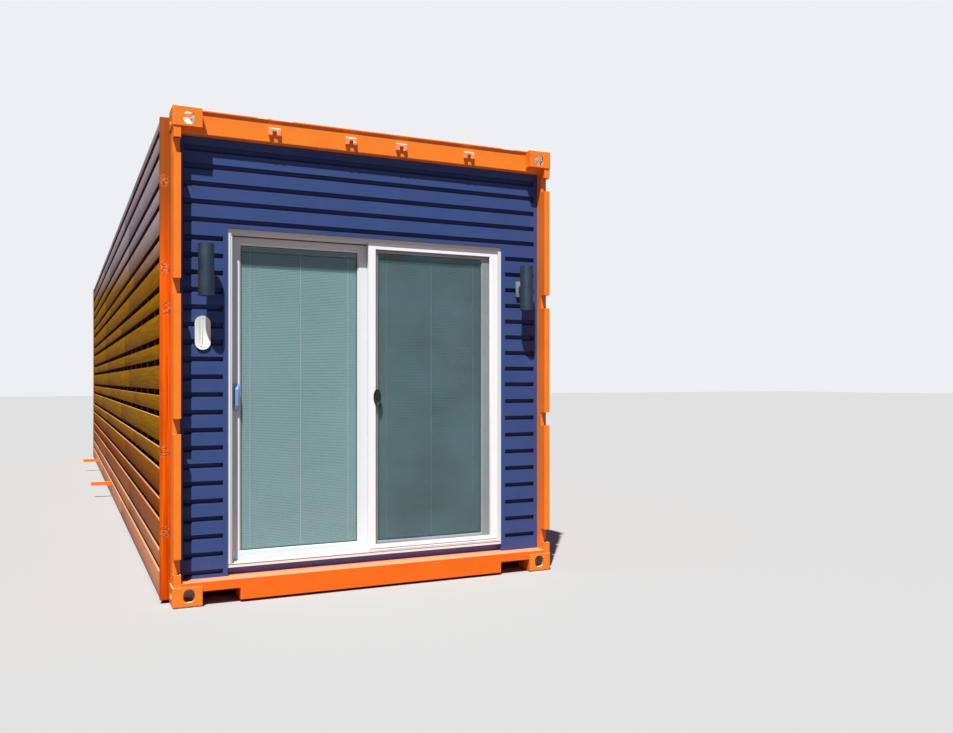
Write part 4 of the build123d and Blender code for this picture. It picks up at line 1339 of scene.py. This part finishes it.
@dataclass
class PatioDoor(Assembly):
    """Vinyl frame, glazed panels, gaskets, handle, screen and latch."""

    sliding_pane: Opening = Opening((408.5, 1134.0), 212.0, (271.0, 2138.0))
    fixed_pane: Opening = Opening((1262.0, 1985.0), 168.0, (271.0, 2140.0))
    gasket_width: float = 3.0
    gasket_depth: float = 1.0
    gasket_edge: float = 0.4
    jamb_rib: Box = ((342.0, 346.5), (129.6, 133.8), (211.0, 2180.0))
    rib_edge: float = 0.8
    screen_lip: Box = ((2038.0, 2049.5), (140.0, 142.0), (253.0, 2160.0))
    lip_edge: float = 0.5
    # Dark joints, strips of painted shadow: across the head, beside the left jamb, over the foot,
    # and the leaf's top pile.
    frame_joints: tuple[Box, ...] = (
        ((322.0, 2119.0), (118.4, 119.6), (2223.0, 2228.0)),
        ((338.0, 341.0), (129.3, 131.0), (206.0, 2199.0)),
        ((322.0, 2116.0), (129.3, 131.0), (202.5, 206.0)),
        ((350.0, 1190.0), (195.4, 197.8), (2186.0, 2194.0)),
    )
    # A strip of painted shadow marks the groove on the screen's bottom rail.
    screen_joint: Box = ((1200.0, 2090.0), (138.4, 140.0), (222.5, 226.0))
    joint_edge: float = 0.3
    latch_centre: Sizes = (1244.5, 134.0, 1203.5)
    latch_half: Span = (24.5, 52.5)
    latch_depth: float = 10.0
    latch_edge: float = 1.2
    # The latch's raised rim and the finger hollow in it: each one's inset and shift.
    latch_rim: Span = (4.0, -1.0)
    latch_hollow: Span = (5.0, 6.0)
    latch_lever: Box = ((1240.5, 1248.5), (128.0, 135.0), (1191.5, 1217.5))
    lever_edge: float = 1.5

    def build(self) -> None:
        """Dress the frames and model the fittings."""
        self.dress_nodes(Paint.VINYL, "door_frame", "fixed_sash", "sliding_sash")
        self.dress_nodes(Paint.CHROME, "sash_handle")
        self.dress_nodes(Paint.COATED, "screen_frame")
        self.dress_nodes(Paint.GLASS, "fixed_glass", "sliding_glass")
        self.dress_nodes(Paint.MESH, "screen_mesh")
        self.gasket("sliding_gasket", self.sliding_pane, Body.LEAF)
        self.gasket("fixed_gasket", self.fixed_pane, Body.CABIN)
        self.lines()
        self.latch()

    def gasket(self, name: str, pane: Opening, body: Body) -> None:
        """Model the dark rubber line round a pane's outer face.

        Args:
            name: The piece's name.
            pane: The opening, with the glass's outer face as its front.
            body: The body that it rides on.
        """
        width, (left, right), (low, top) = self.gasket_width, pane.xs, pane.zs
        ys = (pane.front - self.gasket_depth, pane.front)
        upright = (low + width, top - width)
        strips = [ease(block("strip", (xs, ys, zs)), self.gasket_edge, segments=1) for xs, zs in (
            (pane.xs, (low, low + width)), (pane.xs, (top - width, top)),
            ((left, left + width), upright), ((right - width, right), upright))]
        self.hand_over(join(name, strips), Paint.GASKET, "white_vinyl", body)

    def lines(self) -> None:
        """Model the jamb's inner rib, the screen's inner lip and thin dark joints of painted
        shadow.
        """
        rib = ease(block("jamb_rib", self.jamb_rib), self.rib_edge)
        self.hand_over(rib, Paint.VINYL, "white_vinyl")
        lip = ease(block("screen_inner_lip", self.screen_lip), self.lip_edge)
        self.hand_over(lip, Paint.COATED, "white_vinyl", Body.SCREEN)
        joints = [ease(block("joint", box), self.joint_edge, segments=1)
                  for box in self.frame_joints]
        self.hand_over(join("frame_joint_lines", joints), Paint.SEAL, "white_vinyl")
        line = ease(block("screen_rail_line", self.screen_joint), self.joint_edge, segments=1)
        self.hand_over(line, Paint.SEAL, "white_vinyl", Body.SCREEN)

    def latch(self) -> None:
        """Model the screen's oval latch with a finger hollow and a lever."""
        centre = plan(*self.latch_centre)
        half_width, half_height = self.latch_half
        plate = rod("screen_latch_plate", centre, half_width, self.latch_depth, Axis.Y, sides=48)
        edit(plate, lambda vertex: True, Element.VERTEX)
        bpy.ops.transform.resize(value=(1.0, 1.0, half_height / half_width),
                                 center_override=centre)
        leave_edit()
        press(plate, looks_out, *((inset, (0.0, shift, 0.0))
                                  for inset, shift in (self.latch_rim, self.latch_hollow)))
        ease(plate, self.latch_edge)
        lever = ease(block("lever", self.latch_lever), self.lever_edge)
        self.hand_over(join("screen_latch_plate", [plate, lever]), Paint.BLACK, "black_plastic",
                       Body.SCREEN, ["screen_latch"])


@dataclass
class WallFittings(Assembly):
    """The two lamps and the thermometer plate on the front wall."""

    wall: float = 119.0
    lamp_inset: float = 182.5
    lamp_levels: Span = (1955.0, 1942.0)
    tube_y: float = 6.5
    tube_radius: float = 44.5
    tube_length: float = 303.0
    tube_wall: float = 3.0
    tube_recess: float = 45.0
    tube_edge: float = 1.0
    arm_half: float = 18.0
    arm_ys: Span = (36.0, 99.0)
    arm_edge: float = 1.5
    plate_half: Span = (32.0, 53.0)
    plate_edge: float = 2.5
    lamp_screws: Span = (-40.0, 40.0)
    screw_radius: float = 4.0
    screw_height: float = 3.0
    screw_let_in: float = 0.5
    screw_edge: float = 0.6
    dial_centre: Sizes = (177.0, 113.0, 1593.0)
    dial_radius: float = 44.0
    dial_depth: float = 12.0
    dial_stretch: float = 56.0
    dial_rim: float = 3.0
    dial_sunk: float = 1.2
    dial_edge: float = 0.8
    # Scale marks: the first starts at this X and height, and every fifth is long.
    mark_x: float = 156.0
    lowest_mark: float = 1531.0
    mark_ys: Span = (107.9, 108.4)
    mark_half: float = 0.6
    mark_pitch: float = 6.0
    marks: int = 21
    long_every: int = 5
    long_mark: float = 13.0
    short_mark: float = 8.0
    # Printed dots: X, height and radius of each.
    dots: tuple[Sizes, ...] = ((179.0, 1677.0, 3.0), (169.0, 1510.0, 4.5), (185.0, 1507.0, 3.0),
                               (192.0, 1515.0, 2.5))
    dot_y: float = 108.1
    dot_height: float = 0.6
    column_centre: Sizes = (174.0, 107.2, 1593.0)
    column_radius: float = 2.0
    column_length: float = 128.0
    column_edge: float = 0.5

    def build(self) -> None:
        """Model the fittings."""
        left, right = self.lamp_levels
        self.lamp("left", self.lamp_inset, left)
        self.lamp("right", WIDTH_MM - self.lamp_inset, right)
        self.dial()

    def lamp(self, side: str, middle: float, level: float) -> None:
        """Model one lamp: a hollow tube on an arm and a back plate.

        Args:
            side: left or right.
            middle: Its distance from the left side.
            level: The height of its middle.
        """
        shell = rod("shell", plan(middle, self.tube_y, level), self.tube_radius,
                    self.tube_length, Axis.Z, sides=64)
        for sign in (1, -1):
            # The tube's two ends are its only faces with many corners.
            press(shell, lambda face: face.normal.z * sign > FACING and len(face.verts) > 20,
                  (self.tube_wall, (0.0, 0.0, -sign * self.tube_recess)))
        ease(shell, self.tube_edge)
        half, (across, up) = self.arm_half, self.plate_half
        arm = block("arm", ((middle - half, middle + half), self.arm_ys,
                            (level - half, level + half)))
        back = block("back", ((middle - across, middle + across), (self.arm_ys[1], self.wall),
                              (level - up, level + up)))
        lamp = join(f"{side}_wall_lamp", [shell, ease(arm, self.arm_edge)])
        # The left lamp stands for both lamps of the construction.
        self.hand_over(lamp, Paint.CHARCOAL, "charcoal_paint",
                       replaces=["wall_lamps"] if side == "left" else [])
        plate = [ease(back, self.plate_edge)]
        for offset in self.lamp_screws:
            screw_y = self.arm_ys[1] - 0.5 * self.screw_height + self.screw_let_in
            screw = rod("screw", plan(middle, screw_y, level + offset), self.screw_radius,
                        self.screw_height, Axis.Y, sides=16)
            plate.append(ease(screw, self.screw_edge))
        # The back plate's pale grey is painted sheen.
        self.hand_over(join(f"{side}_lamp_plate", plate), Paint.ZINC, "charcoal_paint")

    def dial(self) -> None:
        """Model the thermometer: a long rounded plate with a rim, a scale and a tube."""
        middle = plan(*self.dial_centre)
        plate = rod("thermometer_plate", middle, self.dial_radius, self.dial_depth, Axis.Y,
                    sides=48)
        # The round plate's upper and lower halves are drawn apart.
        for sign in (1, -1):
            edit(plate, lambda vertex: (vertex.co.z >= middle.z) == (sign > 0), Element.VERTEX)
            bpy.ops.transform.translate(value=(0.0, 0.0, sign * self.dial_stretch * MM))
            leave_edit()
        press(plate, looks_out, (self.dial_rim, (0.0, self.dial_sunk, 0.0)))
        self.hand_over(ease(plate, self.dial_edge), Paint.PLAQUE, "dial_plate",
                       replaces=["wall_thermometer"])
        marks = []
        for step in range(self.marks):
            level = self.lowest_mark + self.mark_pitch * step
            length = self.short_mark if step % self.long_every else self.long_mark
            marks.append(block("mark", ((self.mark_x, self.mark_x + length), self.mark_ys,
                                        (level - self.mark_half, level + self.mark_half))))
        marks += [rod("dot", plan(x, self.dot_y, z), radius, self.dot_height, Axis.Y, sides=16)
                  for x, z, radius in self.dots]
        self.hand_over(join("thermometer_marks", marks), Paint.INK, "dial_plate")
        tube = rod("thermometer_tube", plan(*self.column_centre), self.column_radius,
                   self.column_length, Axis.Z, sides=12)
        self.hand_over(ease(tube, self.column_edge), Paint.SCALE_BLUE, "dial_plate")


@dataclass
class Studio:
    """Camera, sun, world and floor."""

    camera_place: Sizes = (-579.0, -5789.0, 1308.0)
    yaw_deg: float = 27.84
    sensor: float = 36.0
    lens: float = 35.61
    shift: Span = (-0.0833, 0.0152)
    sight: float = 200.0
    sun_travel: Sizes = (0.61, 1.0, -2.15)
    sun_strength: float = 5.9
    sun_width_deg: float = 0.8
    sun_colour: Sizes = (1.0, 0.985, 0.96)
    sky_strength: float = 0.20
    sky_colour: str = "#ACC2FF"
    backdrop: str = "#EDEFF2"
    mirrored_backdrop: float = 0.10
    floor_size: float = 160.0
    floor_roughness: float = 0.9
    floor_specular: float = 0.1
    floor_lit: str = "#887A74"
    floor_seen: str = "#B2B2B0"

    def build(self) -> None:
        """Set up the whole studio."""
        self.camera()
        self.sun()
        self.world()
        self.floor()
        bpy.context.scene.view_settings.view_transform = "Standard"

    def camera(self) -> None:
        """Place the camera where the photograph was taken."""
        data = bpy.data.cameras.new("photo_camera")
        data.sensor_width = self.sensor
        data.lens = self.lens
        data.shift_x, data.shift_y = self.shift
        data.clip_end = self.sight
        camera = bpy.data.objects.new("photo_camera", data)
        camera.location = plan(*self.camera_place)
        camera.rotation_euler = (math.pi / 2, 0.0, -math.radians(self.yaw_deg))
        bpy.context.scene.collection.objects.link(camera)
        bpy.context.scene.camera = camera

    def sun(self) -> None:
        """Light the door end from high on the left."""
        data = bpy.data.lights.new("key", "SUN")
        data.energy = self.sun_strength
        data.angle = math.radians(self.sun_width_deg)
        data.color = self.sun_colour
        key = bpy.data.objects.new("key", data)
        key.rotation_euler = Vector(self.sun_travel).to_track_quat("-Z", "Y").to_euler()
        bpy.context.scene.collection.objects.link(key)

    def world(self) -> None:
        """Light the shade with an even blue sky and show a pale backdrop in its place."""
        world = bpy.data.worlds.new("pale_world")
        world.use_nodes = True
        bpy.context.scene.world = world
        tree = world.node_tree
        light = tree.nodes["Background"]
        light.inputs["Color"].default_value = linear(self.sky_colour)
        light.inputs["Strength"].default_value = self.sky_strength
        seen = add(tree, "Background", (linear(self.backdrop), 1.0))
        path = add(tree, "LightPath").outputs
        through = add(tree, "Math", (path["Is Camera Ray"], path["Is Transmission Ray"]),
                      operation="MAXIMUM").outputs[0]
        mirrored = add(tree, "Math", (path["Is Glossy Ray"], self.mirrored_backdrop),
                       operation="MULTIPLY").outputs[0]
        shown = add(tree, "Math", (through, mirrored), operation="MAXIMUM").outputs[0]
        mix = add(tree, "MixShader", (shown, light.outputs[0], seen.outputs[0]))
        tree.links.new(mix.outputs[0], tree.nodes["World Output"].inputs["Surface"])

    def floor(self) -> None:
        """Lay a plain pale floor that keeps the cabin's shadow and throws a warmer light back."""
        deselect()
        bpy.ops.mesh.primitive_plane_add(size=self.floor_size, location=(0.0, 0.0, 0.0))
        floor = bpy.context.object
        floor.name = "studio_floor"
        material = bpy.data.materials.new("pale_studio_floor")
        material.use_nodes = True
        tree = material.node_tree
        shader = tree.nodes["Principled BSDF"]
        shader.inputs["Roughness"].default_value = self.floor_roughness
        shader.inputs["Specular IOR Level"].default_value = self.floor_specular
        path = add(tree, "LightPath").outputs
        shown = add(tree, "Math", (path["Is Camera Ray"], path["Is Transmission Ray"]),
                    operation="MAXIMUM").outputs[0]
        mix = add(tree, "Mix", {0: shown, 6: linear(self.floor_lit), 7: linear(self.floor_seen)},
                  data_type="RGBA")
        tree.links.new(mix.outputs[2], shader.inputs["Base Color"])
        floor.data.materials.append(material)


def main() -> None:
    """Build the studio and every part of the cabin."""
    logging.basicConfig(level=logging.INFO, format="%(message)s")
    deselect()
    shop = PaintShop()
    Studio().build()
    for part in (SteelBox(shop), Cladding(shop), Blinds(shop), PatioDoor(shop),
                 WallFittings(shop)):
        LOG.info("%s", type(part).__name__)
        part.build()


if __name__ == "__main__":
    main()
